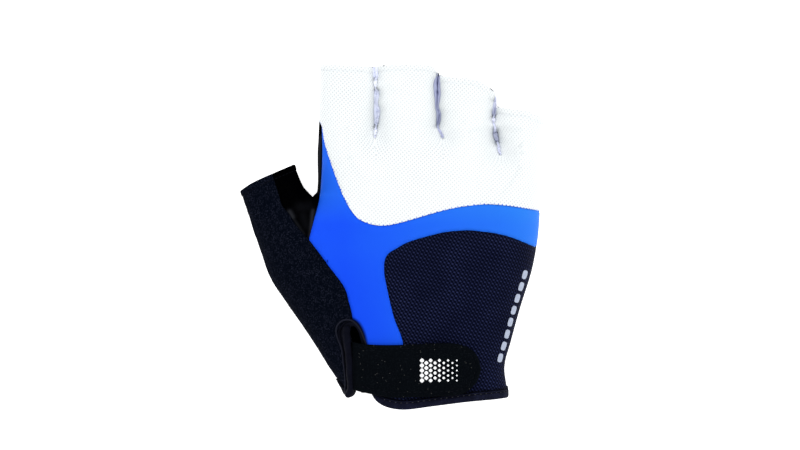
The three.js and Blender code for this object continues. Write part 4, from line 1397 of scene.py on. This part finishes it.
# Hook pad
# The patch of tiny nylon hooks under the strap's free end that grips its loops.
hook_nylon, node, shader = new_material("hook_pad", (0.006, 0.006, 0.007), 0.5, Specular_IOR_Level=0.1)
bumped(node, shader, grains(node, 1400.0, 0.2), 0.0003, 1.0)
PAD_LENGTH = 0.0262
PAD_BOTTOM = 0.0003
PAD_THICKNESS = 0.0009
PAD_ROWS = 28
PAD_COLUMNS = 16
pad_x = strap_start[0] + PAD_START * STRAP_LENGTH + np.linspace(0, PAD_LENGTH, PAD_ROWS)
pad_y = strap_start[1] + np.linspace(-0.5, 0.5, PAD_COLUMNS) * PAD_WIDTH
pad_places = [nearest_cloth(on_form((x, y))) for x in pad_x for y in pad_y]
pad_points = [p + up * (PAD_BOTTOM + PAD_THICKNESS) for p, up in pad_places]
hook_pad = mesh_piece("hook_patch", pad_points, grid_faces(PAD_ROWS, PAD_COLUMNS), hook_nylon,
                      thickness=PAD_THICKNESS)
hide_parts("strap_hook_pad")

# Reflective prints
# Plain silver-grey reflective marks printed on the cloth: a patch of small dots near the strap's free
# end, and a column of short bars along the outer side of the back.
PRINT_PROUD = 0.00012
PRINT_SQUARENESS = 0.6


def prints(name, spots, material, tree, sides):
    """Flat printed marks, each a squarish oval set on the cloth. Columns of spots: place, half width
    and height, turn."""
    points, faces = [], []
    for x, y, half_x, half_y, turned in spots:
        ring = []
        for k in range(sides):
            angle = 2 * math.pi * k / sides
            round_at = (math.cos(angle), math.sin(angle))
            cx, cy = [math.copysign(abs(at) ** PRINT_SQUARENESS, at) for at in round_at]
            cx, cy = cx * half_x, cy * half_y
            px = x + cx * math.cos(turned) - cy * math.sin(turned)
            ring.append((px, y + cx * math.sin(turned) + cy * math.cos(turned)))
        first = len(points)
        for px, py in [(x, y)] + ring:
            hit, normal = dropped_on(tree, px, py)
            points.append(np.array(hit) + np.array(normal) * PRINT_PROUD)
        faces += [[first, first + 1 + k, first + 1 + (k + 1) % sides] for k in range(sides)]
    return mesh_piece(name, points, faces, material)


silver, node, shader = new_material("reflective_print", (0.78, 0.80, 0.82), 0.45, Specular_IOR_Level=0.4)
paint(shader, colour_between(node, patches(node, 1500.0, 2.0), (0.62, 0.64, 0.66), (0.88, 0.89, 0.90)))
DOT_PITCH = 0.0021
DOT_COLUMN_PITCH = 0.87 * DOT_PITCH
DOT_COLUMNS = 9
DOTS_START = 0.0285
DOT_SIZE = 0.00080
DOT_SHRINK = 0.00006
spots = []
for column in range(DOT_COLUMNS):
    for row in range(4 if column % 2 else 5):
        x = strap_start[0] + DOTS_START + DOT_COLUMN_PITCH * column
        y = strap_start[1] + DOT_PITCH * (row - 2 + (0.5 if column % 2 else 0))
        size = DOT_SIZE - DOT_SHRINK * column
        spots.append((x, y, size, size, math.pi / 4))
strap_print = prints("strap_reflective_dots", spots, silver, strap_tree, 14)
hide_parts("wrist_strap")

grey, node, shader = new_material("side_print", (0.27, 0.31, 0.40), 0.5, Specular_IOR_Level=0.3)
paint(shader, colour_between(node, patches(node, 1100.0, 2.0), (0.20, 0.23, 0.31), (0.36, 0.41, 0.52)))
back_places = [vertex.co for vertex in back_cloth.data.vertices]
back_faces = [tuple(face.vertices) for face in back_cloth.data.polygons]
back_cloth_tree = BVHTree.FromPolygons(back_places, back_faces)
BARS_IN = 0.0026
BARS_START = 0.13
BARS_END = 0.415
BAR_STEP = 0.0052
BAR_HALF_WIDTH = 0.0010
BAR_HALF_HEIGHT = 0.0019
side_line = refined(moved_line(little_side[:, :2][::-1], BARS_IN)[::-1], 0.0005)
low_end, high_end = plan(0, BARS_START)[1], plan(0, BARS_END)[1]
spots = []
for p, w in zip(*even_steps(side_line[(side_line[:, 1] > low_end) & (side_line[:, 1] < high_end)], BAR_STEP)):
    spots.append((*p, BAR_HALF_WIDTH, BAR_HALF_HEIGHT, math.atan2(w[1], w[0]) - math.pi / 2))
side_print = prints("side_reflective_bars", spots, grey, back_cloth_tree, 16)
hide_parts("back_panel")
